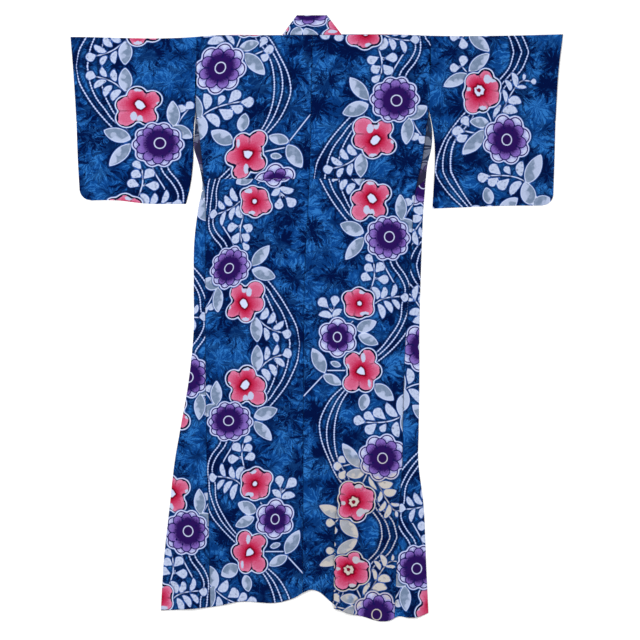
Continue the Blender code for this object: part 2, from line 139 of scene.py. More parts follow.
SLEEVE_FOOT = columns(
    "x y",
    (-628, 311), (-521, 311), (-461, 304), (-347, 302), (307, 290), (383, 293), (485, 297), (626, 298),
)
HEM = columns(
    "x y",
    (-413, -774), (-336, -770), (-262, -762), (-214, -752), (-87, -750), (-56, -739), (-36, -727),
    (-15, -719), (3, -723), (36, -750), (66, -774), (122, -790), (173, -803), (193, -801), (215, -790),
    (244, -793), (271, -791), (297, -780),
)
OVERLAP_START = 262.0
CUFF_OPENING = 230.0
CUFF_PRESS_START = 150.0
CUFF_CORNER = 30.0
SLEEVE_REACH = (310.0, 640.0)

# The collar band, seen flat
COLLAR_END = 754.5
COLLAR_TOP_Y = 803.0
COLLAR_RISE = COLLAR_TOP_Y - SHOULDER_Y
NECK = {LEFT: (-92.0, -52.0), RIGHT: (67.0, 27.0)}
COLLAR_SEAM = {LEFT: (-92.0, -34.0), RIGHT: (67.0, -5.0)}
COLLAR_EDGE = {LEFT: (-52.0, 22.0), RIGHT: (27.0, -60.0)}
COLLAR_FOLD_TRIM = 1.6
COLLAR_HEAD = ((80, 66), (38, 5), (15, -28))
COLLAR_EVEN_END, COLLAR_STEP = 100.0, 7.0
COLLAR_CROWN = 0.9

# Relief of the back: soft folds, the waist tuck and the one steep fold at the lower right
CROSSING_CLEARANCE = 10.0
CROSSING_RAMP = 26.0
FADE_FROM_FOLD = 40.0
BACK_PUFF = 1.2
SOFT_FOLDS = (
    (-230, 640, -180, 380, 2.6, 26),
    (-120, 520, -150, 60, 2.2, 30),
    (-255, 300, -240, -120, 3.0, 24),
    (-100, -60, -130, -560, 3.2, 32),
    (-290, -240, -330, -760, 4.2, 26),
    (-215, -420, -235, -750, 2.6, 22),
    (-36, -520, -20, -735, 3.6, 26),
    (200, 650, 150, 400, 2.4, 26),
    (90, 330, 60, -150, 2.6, 30),
    (190, 260, 200, -180, 3.0, 26),
    (140, -250, 170, -640, 3.0, 30),
    (235, -340, 250, -770, 3.4, 22),
    (-590, 660, -390, 420, 3.0, 30),
    (-560, 400, -400, 340, 2.2, 24),
    (600, 680, 400, 450, 3.0, 30),
    (560, 380, 390, 330, 2.2, 24),
)
FOLD_END_SHARE = 0.3
HEM_REACH_Y = -700.0
RIDGE_WIDTH, RIDGE_SLOPE = 14.0, 62.0
RIDGE_HEIGHT = 9.0
RIDGE_START_Y, RIDGE_GROWTH = -330.0, 260.0
RIDGE_ROLL = 44.0
TUCK_HEIGHT = 1.3
TUCK_RISE = 35.0
TUCK_ROOM = (6.0, 4.0)
# The tuck's path down the cloth: how far below the fold, how high, and how much of its hidden print is past
TUCK_PATH = (
    (-4.0, 1.25, 0.0),
    (0.0, 1.3, 0.02),
    (0.6, 1.0, 0.1),
    (0.0, 0.75, 0.2),
    (-4.5, 0.7, 0.42),
    (-5.2, 0.4, 0.5),
    (-4.5, 0.1, 0.6),
    (0.6, 0.0, 0.98),
)

# Fine creases, drawn at random from a fixed seed: how many, and their ranges of length, width and height
CREASE_SEED = 11
CREASE_COUNT = 150
CREASE_LENGTH = (60.0, 420.0)
CREASE_WIDTH = (3.5, 11.0)
CREASE_HEIGHT = (0.25, 0.95)
CREASE_SWAY, CREASE_SWAY_RUN = 9.0, 70.0
# Where they start, how they lean, and how those on the sleeves and the sunk ones differ
CREASE_X, CREASE_Y = (-640, 640), (-790, 760)
CREASE_BODY_X = 310
CREASE_LEAN = 0.35
CREASE_UPRIGHT_SHARE = 0.4
CREASE_SLEEVE_LENGTH = 0.5
CREASE_RAISED_SHARE = 0.6
CREASE_SUNK = -0.8
ANY_LEAN, ANY_PHASE = (0, 3), (0, 6)

# The meshes
ROW_STEP = 4.6
FRONT_FLAT_CELLS = 26
FRONT_EDGE_CELLS = TURN_STEPS + 26
EDGE_CELL = 0.8
BACK_NECK_CELLS = 17
BACK_EVEN_DOWN = 600.0
RIDGE_COLUMNS = (850.0, 1053.0)
RIDGE_BEFORE_CELLS, RIDGE_CELLS = 20, 16
SLEEVE_ROWS, SLEEVE_COLUMNS = 92, 68
FOOT_GATHER, FOOT_GATHER_POWER = 0.35, 6
OVERLAP_CELLS = 24
COLLAR_CELLS, NECK_CELLS = 12, 24
SETTLING_PASSES = 5

# The print repeats every UNIT pixels, mirrored at both ends. Its shapes are measured from ORIGIN.
PRINT_MM = 2.65
PRINT_CENTRE_X, PRINT_TOP_Y = 316.7, 318.1
UNIT = 380.0
ORIGIN = (313.0, 160.0)
FAR = 12.0
GROUND_APART = 1900.0
FLOWER_REACH = 42.0
PETAL_BLEND = 1.4
LINE_STEP = 4
LEAF_FULLNESS = 0.25

# Red flowers: middle disc, petals and any dark dot (x, y, radius), the heart's corners, and pale patches
# (x, y, width, height)
RED_FLOWERS = (
    {
        "disc": (370.3, 200.8, 15.6),
        "petals": ((382.6, 193, 9.3), (369.5, 189.2, 9.7), (359.2, 198.5, 9.3), (360.2, 211.6, 10.1),
                   (379, 210.6, 9.2)),
        "heart": ((370.4, 193.6), (367.2, 197), (369.8, 202), (373, 203.4), (376.8, 200.2), (374, 195.6)),
        "patches": ((366.5, 210, 6, 9), (372, 213, 5, 8), (388, 197, 4, 4), (370.3, 183.4, 8, 3.4)),
    },
    {
        "disc": (358.9, 303.4, 15.2),
        "petals": ((348.8, 298, 7.6), (351.5, 310.3, 7.6), (359, 311.6, 8.2), (367, 309.4, 7.8),
                   (367.2, 297.6, 7.8), (358.8, 294.6, 8.2)),
        "heart": ((359.5, 300.9), (361.4, 302.1), (361.7, 304.2), (360.4, 305.6), (358.4, 305.4),
                  (357.1, 303.9), (357.5, 302)),
        "patches": ((362, 291.8, 7, 4), (364.4, 313.8, 9, 4.4)),
    },
    {
        "disc": (362.2, 371.1, 15.8),
        "petals": ((353, 360.8, 9.6), (367.8, 356.8, 9.3), (373.3, 371, 9.1), (365.5, 384, 8.8),
                   (351.8, 383, 9.6)),
        "heart": ((361, 366.6), (357.6, 369.8), (356.4, 372.2), (360.4, 374.2), (364.8, 374.8), (364, 369.4)),
        "patches": ((363.2, 357.6, 4.4, 9.6), (347.8, 367.6, 3.4, 8), (369.3, 383.4, 3, 8)),
    },
    {
        "disc": (357.1, 502.8, 17), "dot": (354.8, 502.6, 2.1),
        "petals": ((349, 490.5, 9.6), (358.8, 489, 7), (366.5, 497, 10.3), (368.4, 506.9, 8.8),
                   (361.6, 516, 8.6), (350, 510.6, 9.8), (345.5, 499, 7.5)),
        "heart": ((355.2, 497.2), (356.6, 498.8), (359.4, 498.6), (359.2, 501), (360.8, 503), (358.8, 504.4),
                  (358.4, 507), (355.8, 506.6), (353.6, 508), (352.4, 505.6), (349.9, 504.6), (351, 502.4),
                  (350, 500), (352.4, 499.4), (353, 497)),
        "patches": ((358.5, 486.6, 8, 4), (363, 513.6, 7, 9), (368.6, 512.6, 8, 4.4), (344.4, 503.6, 5, 4)),
    },
)

# Purple flowers: ring centre and half sizes; the petals' centre and count; how far out and how round the
# inner and the pale petals are; the core's radius; and the turn of the first petal
PURPLE_FLOWERS = (
    {"ring": (389.3, 236.9, 4.9, 5.2), "centre": (387.6, 238.2), "count": 10, "inner": (14.8, 4),
     "pale": (16.4, 4.7), "core": 11.2, "turn": 0.314},
    {"ring": (337.3, 337, 4, 4.8), "centre": (337.6, 337.4), "count": 6, "inner": (10.3, 4.5),
     "pale": (11.8, 6.5), "core": 7, "turn": 0},
    {"ring": (382.6, 458.3, 4.8, 5.2), "centre": (382.8, 457.6), "count": 8, "inner": (14.1, 4.75),
     "pale": (16.2, 6.2), "core": 10, "turn": -0.14},
)
PURPLE_RIM = 2.2
# Further than this from the ring, its distance is scaled so that all the flowers' petals reach as far
RING_WIDTH, PURPLE_REACH = 2, 13.4

# Leaves and leaflets: base x and y, tip x and y, width
LEAVES = (
    (364, 233, 340, 224, 14), (364, 237, 345, 260, 12), (401.6, 220.5, 400.2, 194, 11.5),
    (356, 330, 376.7, 321.5, 12), (358, 335, 378.4, 344.3, 11), (325, 373, 312.4, 348, 13),
    (323, 375, 342, 384.5, 10), (374, 384, 393.7, 400.3, 13), (366, 393.6, 361.8, 410.6, 11),
    (407, 393, 400.7, 416, 15), (409, 391, 426, 400, 14), (360, 468, 342.3, 443, 12),
    (365, 473, 346, 475, 10), (341, 366, 330, 362, 6), (344.5, 521, 365.6, 539.2, 12),
    (343.9, 518.6, 319, 506.3, 12), (359.6, 185.5, 358.8, 161, 12), (400.1, 219.9, 417.6, 231.4, 12),
    (402, 414, 417, 444, 15),
)
LEAFLETS = (
    (343, 174.4, 332, 182, -4.6), (348, 179.5, 341.5, 190.5, -5), (355.6, 184, 348.3, 194.8, -5.6),
    (343.4, 170.4, 338.8, 160.8, 4.2), (351.5, 175.4, 349.6, 162.6, 4.6),
    (377, 299.5, 372, 287, -5.6), (380.8, 298.4, 384.6, 286.6, -4.8), (390.8, 297, 395, 283.4, -4.2),
    (377.8, 303.6, 382.4, 319, 5.4), (383.4, 301, 391.6, 313, 4.8), (391.6, 299.8, 398.8, 309.4, 4.2),
    (369.1, 476.5, 377.4, 490.3, -3.4), (378.1, 482, 393.4, 483.4, -6.6), (383.9, 491.5, 397, 491, -6.2),
    (391.6, 504.4, 403, 504.7, -3), (381.4, 491.4, 378.6, 503.4, 3.4), (386.2, 501.6, 380.9, 512.6, 4),
    (390.9, 505.4, 387.8, 520.2, 4.8), (398.1, 511.8, 400.4, 519.8, 2.4),
    (397.5, 421.5, 398.6, 437, -6.6), (398, 416, 386.6, 402.4, 6.6),
    (333.4, 318, 342.2, 309.6, 4.8), (332.2, 317.4, 318.4, 315.2, -5.6),
)
LEAFLET_INNER = 0.22

# Berries: x and y of the middle, radius, and x and y of the point towards the stem
BERRIES = (
    (329.3, 169.4, 4.7, 334, 171), (404, 297.3, 4.5, 400, 296.6), (407.6, 202.7, 4.4, 405, 207),
    (415.1, 199.3, 4.2, 411, 203), (369, 257.9, 3.8, 373.5, 262.8), (368.6, 267.9, 4.5, 373.8, 271),
    (365.3, 277.1, 4.5, 372, 279.8), (380.1, 267, 4.8, 375.2, 272.6), (383.8, 279.4, 4.7, 376.4, 278.8),
    (322.7, 302.4, 5, 328.6, 308), (335, 300.2, 4.5, 333.8, 307.4), (358.6, 420.4, 5.1, 366, 422.2),
    (368, 415.6, 4.4, 375.6, 420.6), (369.8, 429.2, 5.2, 377, 423), (382.8, 428.4, 3.6, 386.4, 423),
    (378, 412.8, 5.2, 386, 419.6), (342, 459.8, 4, 346, 463), (337.7, 466.4, 4.4, 343, 466),
    (342.3, 475.5, 4, 346, 470), (339.2, 532.1, 4.6, 338, 525), (330.4, 524.5, 4.6, 336, 525),
    (409, 511, 3, 406, 511),
)
STEMS = (
    ((361.6, 187.2), (356, 182.6), (350.5, 177.4), (341.5, 172.6), (330, 169.6)),
    ((375.2, 303.4), (380, 300), (388, 297.6), (394, 296.8), (401, 296.4)),
    ((376.6, 481), (381.6, 490), (389.6, 503.2), (397.6, 511.8), (408, 511)),
    ((402, 415.5), (396, 419), (388, 421.4), (378, 422.4), (365, 422.2)),
    ((403, 221), (409, 210), (414, 203)), ((371.3, 288.3), (374.4, 276), (373.8, 264)),
    ((374.6, 279.4), (378, 278.8)), ((380, 252), (384, 264.5), (393.2, 281.8)),
    ((333.2, 324), (333.4, 315), (334, 306)), ((333.2, 313), (327, 306.4)),
    ((352, 464), (344, 466), (338, 467)), ((303.7, 396), (323, 375.4)),
    ((327.4, 370.4), (344.8, 370.4)), ((342, 521), (336, 527), (331, 525)),
    ((352, 322), (348, 326)), ((366.8, 475), (361.5, 486)),
)

# Bundles of three strands: an outer one, the middle one and the other outer one
BUNDLES = (
    (
        ((316, 160), (319, 176.6), (325, 189), (331.5, 200), (346.4, 219.7), (353, 227)),
        ((326, 160), (329, 179), (334, 192), (341, 202.5), (348.5, 214), (354, 219)),
        ((337, 160), (339.5, 182), (342.3, 191.5), (346.5, 201), (350, 208), (355, 212)),
    ),
    (
        ((388, 252), (392, 266), (399.5, 276), (405.3, 290), (404, 297), (401.8, 303), (401.5, 310),
         (400, 320), (396.5, 327), (391, 335), (377.5, 351.5), (370, 357)),
        ((394, 252), (397, 263.6), (404.5, 274), (409, 284), (409.8, 293), (408.5, 302), (408, 310),
         (405.5, 318), (402, 326), (396.2, 336), (377.5, 355.8), (370, 361)),
        ((414, 300), (411, 318), (407, 330.6), (396.4, 344.7), (378.4, 360.8), (371, 366)),
    ),
    (
        ((348, 382), (342, 387.8), (333, 396), (324, 410), (319.5, 422.4), (320.7, 437.4), (329, 459.8),
         (336.5, 476.3), (348, 490)),
        ((350, 384), (344.8, 390), (336.5, 401), (332, 410), (327, 426.6), (328, 445.7), (333, 459.8),
         (345, 480)),
        ((352, 387), (347.3, 392.4), (338, 410), (334.5, 426.6), (334.5, 443), (338, 459.8), (350, 480)),
    ),
    (
        ((376, 498), (380.1, 505.1), (397.7, 523.3), (404.7, 540)),
        ((371, 500), (377.8, 508.7), (391.8, 525.7), (397.7, 540)),
        ((366, 503), (373.7, 511), (385.5, 525.7), (389.6, 540)),
    ),
)

# Where each piece's print lies. V is read from the photo's Y by these tables, and U from its X.
# The left back above its tuck: U and V at a middle place, and how they change across and down the photo.
LEFT_UPPER_PLACE = (250.0, 150.0)
LEFT_UPPER = np.array([[46.0, -0.91, 0.04], [-214.9, 0.189, 0.949]])
# Below it the cloth's outer part is turned a little: from these X outwards, by these shares down Y
TURNED_FROM = (250.0, 238.0)
TURNED = columns(
    "y u v", (305, 0.12, -0.27), (340, 0, 0), (440, 0, 0), (480, 0.08, 0), (520, 0.1, 0.05),
    (575, 0.16, 0.35), (640, 0.16, 0.35),
)
LEFT_LOWER_V = columns(
    "y v", (178, -166.8), (201.3, -143.5), (246.3, -99), (277.3, -64.5), (303.4, -38.8), (343.4, 0),
    (385, 38.4), (421.4, 77.5), (439, 98.3), (458, 118.8), (483.7, 143.5), (519.7, 177.5),
    (552.1, 211.2), (640, 299),
)
LEFT_BACK_X0 = columns(
    "y x", (178, 297), (200, 301.2), (230, 300.5), (266, 303), (306, 302), (342, 303), (383, 304),
    (421, 305), (484, 301.4), (520, 299.4), (552, 297.6), (640, 297),
)
RIGHT_SLEEVE_V = columns(
    "y v", (30, 402.4), (52.4, 380), (91, 342), (140.5, 298), (178, 260), (205, 233), (215, 223),
)
RIGHT_SLEEVE_BULGE = columns("y shift", (108, 0), (140, 8), (172, 8), (204, 0))
BULGE_END, BULGE_RAMP = 475.0, 25.0
RIGHT_UPPER_V = columns("y v", (30, -147), (100, -77.5), (139.6, -39.5), (180, 1.3))
RIGHT_UPPER_SHIFT = columns("y shift", (30, -4), (76, -4), (90, -2.5), (110, -2.3), (140, -0.3), (190, 0))
RIDGE_FOOT = columns("below x", (330, 52), (487, 51.5), (667, 48), (800, 47))
# U moves on past the steep fold, by the cloth that is hidden in it, over this stretch of its rise
RIDGE_HIDDEN = columns(
    "y shift", (430, 0), (485, 0.3), (502, 1.2), (522, 4.8), (540, 8), (556, 7.5), (570, 6.3), (640, 6),
)
RIDGE_PRINT_ROLL = (0.2, 0.8)
RIGHT_BACK_V = columns(
    "y v", (150, -10), (178, 18), (440, 280), (499.2, 340), (537.5, 380), (569.2, 417.9), (614.1, 461.4),
    (640, 487),
)
COLLAR_V = columns("x v", (240, 106), (292, 161.5), (307, 177.4), (324.5, 189.5), (370, 235))
# The other parts: X0 is the photo's X where U is 0, and U0 and V0 are U and V at the photo's 0. A front has
# its U at the garment's middle, counted from the strip at the side, and its V at the photo's top.
RIGHT_UPPER_X0, RIGHT_UPPER_SPREAD = 310.4, 0.915
RIGHT_BACK_X0 = 313.0
LEFT_SLEEVE_SPREAD, LEFT_SLEEVE_U0, LEFT_SLEEVE_V0 = 0.872, -63.3, -66.5
RIGHT_SLEEVE_X0 = 437.0
FRONT_PRINT = {LEFT: (204.7, -306.0), RIGHT: (176.3, -114.7)}
COLLAR_SPREAD, COLLAR_U0 = 1.38, 6.46
# The yellowing: where it sets in and where it fades across the photo, and where it sets in down it
STAIN_START, STAIN_END = (308.0, 318.0), (392.0, 402.0)
STAIN_TOP = (438.0, 478.0)

# The dye and the weave, in print pixels. Bursts: cell size, seed and how many rays
WIDE_BURSTS, FINE_BURSTS, THIN_BURSTS = (34.0, 3.1, 3.6), (19.0, 8.4, 3.0), (27.0, 5.2, 8.0)
BURST_APART, BURST_SPREAD = (37.0, 53.0, 71.0), 1.6
GROUND_BEND = (7.0, 7.0, 0)
BUNDLE_HALF_WIDTH, BEAD_LENGTH = 9.5, 2.7
SLUB_STRETCH, WEAVE_SHADE = (0.2, 3.0, 1), (0.84, 0.85, 0.88)

# Lights: name, place, size and share of the power
STUDIO_LIGHTS = (("key", (-1.6, 1.3, 3.8), 2.0, 1.0), ("fill", (1.8, -1.2, 3.9), 2.2, 0.45))
PHOTO_MIDDLE = 320


def at(table, name, place):
    """A table's values at these places along its first column, on a smooth curve through its rows."""
    places, values = next(iter(table.values())), table[name]
    slopes = np.gradient(values, places)
    low = np.clip(np.searchsorted(places, place, side="right") - 1, 0, len(places) - 2)
    width = places[low + 1] - places[low]
    share = np.clip((place - places[low]) / width, 0.0, 1.0)
    rest = 1 - share
    value = values[low] * (1 + 2 * share) * rest**2 + values[low + 1] * (3 - 2 * share) * share**2
    return value + width * share * rest * (slopes[low] * rest - slopes[low + 1] * share)


def straight(table, name, place):
    """A table's values at these places along its first column, on straight lines between its rows."""
    return np.interp(place, next(iter(table.values())), table[name])


def ease(value, start=0.0, end=1.0):
    """A smooth step from 0 at start to 1 at end."""
    share = np.clip((value - start) / (end - start), 0.0, 1.0)
    return share * share * (3 - 2 * share)


def between(first, last, share):
    """The value this share of the way from the first to the last."""
    return first + (last - first) * share


def spaced(start, *stretches):
    """Places along a line from its start, where each stretch gives its number of cells and its end."""
    places = [np.array([start])]
    for cells, end in stretches:
        places.append(np.linspace(start, end, cells + 1)[1:])
        start = end
    return np.concatenate(places)


def line_frame(x, y, first, last):
    """How far places lie along a straight line and to its side, with the line's length."""
    run_x, run_y = last[0] - first[0], last[1] - first[1]
    from_x, from_y = x - first[0], y - first[1]
    run = math.hypot(run_x, run_y)
    return (from_x * run_x + from_y * run_y) / run, (from_x * run_y - from_y * run_x) / run, run


def place_y(x, down):
    """Y of points this far down the cloth: the rows follow the shoulder above and the hem's wave below."""
    top = (at(TOP_EDGE, "y", x) - SHOULDER_Y) * (1 - ease(down, 0, SHOULDER_BLEND))
    wave = (at(HEM, "y", x) - SHOULDER_Y + BODY_LENGTH) * ease(down, HEM_WAVE_START, BODY_LENGTH)
    return SHOULDER_Y - down + top + wave


def fine_creases():
    """The fine creases of the whole cloth, long ones mostly down its length."""
    draw = np.random.default_rng(CREASE_SEED)
    creases = []
    for _ in range(CREASE_COUNT):
        x, y = draw.uniform(*CREASE_X), draw.uniform(*CREASE_Y)
        on_body = abs(x) < CREASE_BODY_X
        lean = draw.normal(0, CREASE_LEAN)
        lean += math.pi / 2 if on_body or draw.random() < CREASE_UPRIGHT_SHARE else draw.uniform(*ANY_LEAN)
        length = draw.uniform(*CREASE_LENGTH) * (1 if on_body else CREASE_SLEEVE_LENGTH)
        height = draw.uniform(*CREASE_HEIGHT) * (1 if draw.random() < CREASE_RAISED_SHARE else CREASE_SUNK)
        creases.append((x, y, lean, length, draw.uniform(*CREASE_WIDTH), height, draw.uniform(*ANY_PHASE)))
    return creases


CREASES = fine_creases()


def soft_folds(x, y):
    """Height of the soft folds: rounded ridges that fade at their ends, or run out through the hem."""
    height = np.zeros(np.shape(x))
    for x0, y0, x1, y1, rise, width in SOFT_FOLDS:
        along, across, run = line_frame(x, y, (x0, y0), (x1, y1))
        ends = ease(along, 0, FOLD_END_SHARE * run)
        if y1 > HEM_REACH_Y:
            ends = ends * ease(run - along, 0, FOLD_END_SHARE * run)
        height = height + rise * ends * np.exp(-((across / width) ** 2))
    return height


def crease_height(x, y):
    """Height of the fine creases, each swaying a little along its length."""
    height = np.zeros(np.shape(x))
    for x0, y0, lean, length, width, rise, phase in CREASES:
        along, across, _ = line_frame(x, y, (x0, y0), (x0 + math.cos(lean), y0 + math.sin(lean)))
        across = across + CREASE_SWAY * np.sin(along / CREASE_SWAY_RUN + phase)
        inside = np.clip(1 - (2 * along / length) ** 2, 0, 1)
        height = height + rise * inside * np.exp(-((across / width) ** 2))
    return height


def relief(x, y):
    """Height of the back's cloth above its layer, away from the folded edges and the steep fold."""
    return BACK_PUFF + soft_folds(x, y) + bpy.context.scene.yukata_cloth.crease_strength * crease_height(x, y)


def steep_fold(x, y):
    """How far places lie over the steep fold's rise, its growth there and its share of its height."""
    past = x - at(RIDGE_FOOT, "x", -y)
    roll = np.clip(past / RIDGE_WIDTH, 0, 1)
    slope = 1 - ease(past, RIDGE_WIDTH, RIDGE_WIDTH + RIDGE_SLOPE)
    return roll, ease(RIDGE_START_Y - y, 0, RIDGE_GROWTH), np.where(roll < 1, ease(roll), slope)


def kept_relief(distance):
    """How much of its relief the cloth keeps this far from a folded edge."""
    return ease(distance, 0, FADE_FROM_FOLD)


def edge_pressed(side, x, y, out, down):
    """How much of its relief a back point of the body keeps, nothing along the shoulder and side folds."""
    shoulder = kept_relief(at(TOP_EDGE, "y", x) - TURN_INSET - y)
    at_side = kept_relief(at(BODY, SIDE_NAME[side] + "_outer", down) - TURN_INSET - out)
    return shoulder * between(1, at_side, ease(down, SLEEVE_SEAM_LENGTH, SIDE_OPENING_FOOT))


def collar_line(line, side, down, above=0.0):
    """X of a line of the collar that starts this far above the shoulder line."""
    return between(*line[side], (down + above) / (COLLAR_END + above))


def left_free_edge(down):
    """X of the left front's free edge: the collar's above its end, the overlap panel's below."""
    collar_edge = collar_line(COLLAR_EDGE, LEFT, down, COLLAR_RISE)
    return np.where(down < COLLAR_END, collar_edge, -at(FRONT, "left_edge", down))


def front_layer(side, x, down):
    """Height of a front's middle: the right one rises to lie on the left one."""
    if side == LEFT:
        return np.full(np.shape(x), FLOOR_LAYER)
    past = x - left_free_edge(down) - CROSSING_CLEARANCE
    return between(CROSSED_LAYER, FLOOR_LAYER, ease(past, 0, CROSSING_RAMP))


def photo_place(x, y):
    """Print pixels across and down the photo for a place on the garment."""
    return x / PRINT_MM + PRINT_CENTRE_X, PRINT_TOP_Y - y / PRINT_MM


def back_print(side, x, y, hidden):
    """U and V of the print on a body's back, where hidden runs from 0 above the tuck to 1 below it."""
    px, py = photo_place(x, y)
    if side == LEFT:
        above = LEFT_UPPER @ np.stack([np.ones_like(px), px - LEFT_UPPER_PLACE[0], py - LEFT_UPPER_PLACE[1]])
        outside_u, outside_v = (np.maximum(start - px, 0) for start in TURNED_FROM)
        u = straight(LEFT_BACK_X0, "x", py) - px + outside_u * straight(TURNED, "u", py)
        v = straight(LEFT_LOWER_V, "v", py) + outside_v * straight(TURNED, "v", py)
    else:
        upper_u = (px - RIGHT_UPPER_X0) * RIGHT_UPPER_SPREAD + straight(RIGHT_UPPER_SHIFT, "shift", py)
        above = np.array([upper_u, straight(RIGHT_UPPER_V, "v", py)])
        u, v = px - RIGHT_BACK_X0, straight(RIGHT_BACK_V, "v", py)
    return between(above, np.array([u, v]), hidden)


class Sheet:
    """An open sheet of quads, built from grids and turned edges.

    Its prints hold each point's U, V and distance to the nearest seam.
    """

    def __init__(self):
        self.points, self.prints = np.empty((0, 3)), np.empty((0, 3))
        self.quads = []

    def add(self, points, prints):
        """Adds an array of points with their prints, and returns their indices in the same shape."""
        points, start = np.asarray(points, float), len(self.points)
        self.points = np.concatenate([self.points, points.reshape(-1, 3)])
        self.prints = np.concatenate([self.prints, np.reshape(prints, (-1, 3))])
        return np.arange(start, len(self.points)).reshape(points.shape[:-1])

    def weave(self, indices):
        """Joins rows of points into quads."""
        corners = [indices[:-1, :-1], indices[:-1, 1:], indices[1:, 1:], indices[1:, :-1]]
        self.quads += np.stack(corners, -1).reshape(-1, 4).tolist()

    def grid(self, points, prints):
        """Adds rows of points with their prints, joins them and returns their indices."""
        indices = self.add(points, prints)
        self.weave(indices)
        return indices

    def turn(self, lower, upper, outward):
        """Joins two chains of points, one above the other, round a half circle."""
        low, high = self.points[lower], self.points[upper]
        reach = (high[:, 2] - low[:, 2]) / 2
        rows = [lower]
        for share in np.arange(1, TURN_STEPS) / TURN_STEPS:
            middle = low[:, 2] + reach * (1 - math.cos(math.pi * share))
            flat = low[:, :2] + outward * (reach * math.sin(math.pi * share))[:, None]
            shown = between(self.prints[lower], self.prints[upper], share)
            rows.append(self.add(np.column_stack([flat, middle]), shown))
        self.weave(np.array([*rows, upper]))

    def make(self, name, stained):
        """Makes the piece: the sheet in metres with its print, thickened on both sides by Solidify."""
        mesh = bpy.data.meshes.new(name)
        mesh.from_pydata((self.points * MM).tolist(), [], self.quads)
        face_right_side_out(mesh)
        mesh.shade_smooth()
        for field, values in print_fields(self.prints, self.points, stained).items():
            attribute = mesh.attributes.new(field, "FLOAT_VECTOR", "POINT")
            attribute.data.foreach_set("vector", values.astype(np.float32).ravel())
        for face in ("right", "wrong"):
            mesh.materials.append(cloth_material(f"dyed_cotton_{face}_side", face == "wrong"))
        piece = bpy.data.objects.new(name, mesh)
        bpy.context.scene.collection.objects.link(piece)
        solidify = piece.modifiers.new("cloth", "SOLIDIFY")
        solidify.thickness = bpy.context.scene.yukata_cloth.thickness
        solidify.offset = 0
        solidify.material_offset = 1
        return piece


def face_right_side_out(mesh):
    """Turns the faces alike, so that the back's face up, or down where a piece has only front layers."""
    shape = bmesh.new()
    shape.from_mesh(mesh)
    bmesh.ops.recalc_face_normals(shape, faces=shape.faces)
    shape.normal_update()
    upper = [face for face in shape.faces if face.calc_center_median().z > BACK_FROM * MM]
    wanted = 1 if upper else -1
    if sum(face.normal.z for face in upper or shape.faces) * wanted < 0:
        bmesh.ops.reverse_faces(shape, faces=shape.faces)
    shape.to_mesh(mesh)
    shape.free()


def back_columns(side, down):
    """How far out each column of a back row lies: under the neck above, even below, or close at the fold."""
    inner = side * at(BODY, "centre", down) + SEAM_GAP / 2
    outer = at(BODY, SIDE_NAME[side] + "_seam", down) - SEAM_GAP / 2
    neck = at(FRONT, SIDE_NAME[side] + "_seam", 0.0) + SEAM_GAP / 2
    beyond = FRONT_FLAT_CELLS + FRONT_EDGE_CELLS
    cells = BACK_NECK_CELLS + beyond
    above = spaced(inner, (BACK_NECK_CELLS, neck), (beyond, outer))
    spread = between(above, spaced(inner, (cells, outer)), ease(down, 0, BACK_EVEN_DOWN))
    if side == RIGHT:
        foot, after = at(RIDGE_FOOT, "x", down - SHOULDER_Y), cells - RIDGE_BEFORE_CELLS - RIDGE_CELLS
        ridge = spaced(inner, (RIDGE_BEFORE_CELLS, foot), (RIDGE_CELLS, foot + RIDGE_WIDTH), (after, outer))
        spread = between(spread, ridge, ease(down, *RIDGE_COLUMNS))
    return spread


def back_row(side, down, tuck_height, hidden):
    """A row of the back and its print. On the right the steep fold rolls over to the left near the hem."""
    out = back_columns(side, down)
    x = side * out
    y = place_y(x, down)
    roll, grown, share = steep_fold(x, y)
    raised = relief(x, y) + tuck_height + RIDGE_HEIGHT * grown * share
    z = BACK_LAYER + edge_pressed(side, x, y, out, down) * raised
    x = x + 3 * RIDGE_ROLL * grown * roll * (1 - roll) * (1 - 2 * roll)
    u, v = back_print(side, x, y, hidden)
    if down > RIDGE_COLUMNS[1]:
        u = u + straight(RIDGE_HIDDEN, "shift", photo_place(x, y)[1]) * ease(roll, *RIDGE_PRINT_ROLL)
    edge = np.minimum(out - out[0], out[-1] - out)
    return np.column_stack([x, y, z]), np.column_stack([u, v, edge])


def front_stations(side, down, inner, outer):
    """How far along the cloth each column of a front row lies, from its inner seam round the side fold."""
    flat = outer - TURN_INSET - inner
    past_fold = flat + math.pi * TURN_RADIUS
    wrapped = past_fold + outer - TURN_INSET - at(BODY, SIDE_NAME[side] + "_seam", down) - SEAM_GAP / 2
    wrap = ease(down, WRAP_START, SIDE_OPENING_FOOT)
    length = between(outer - SEAM_GAP / 2 - inner, wrapped, wrap)
    if wrap == 1:
        beyond = FRONT_EDGE_CELLS - TURN_STEPS
        return spaced(0, (FRONT_FLAT_CELLS, flat), (TURN_STEPS, past_fold), (beyond, length))
    start = min(flat, length - FRONT_EDGE_CELLS * EDGE_CELL)
    gathered = spaced(0, (FRONT_FLAT_CELLS, start), (FRONT_EDGE_CELLS, length))
    even = spaced(0, (FRONT_FLAT_CELLS + FRONT_EDGE_CELLS, length))
    return between(even, gathered, ease(down, 0, WRAP_START))


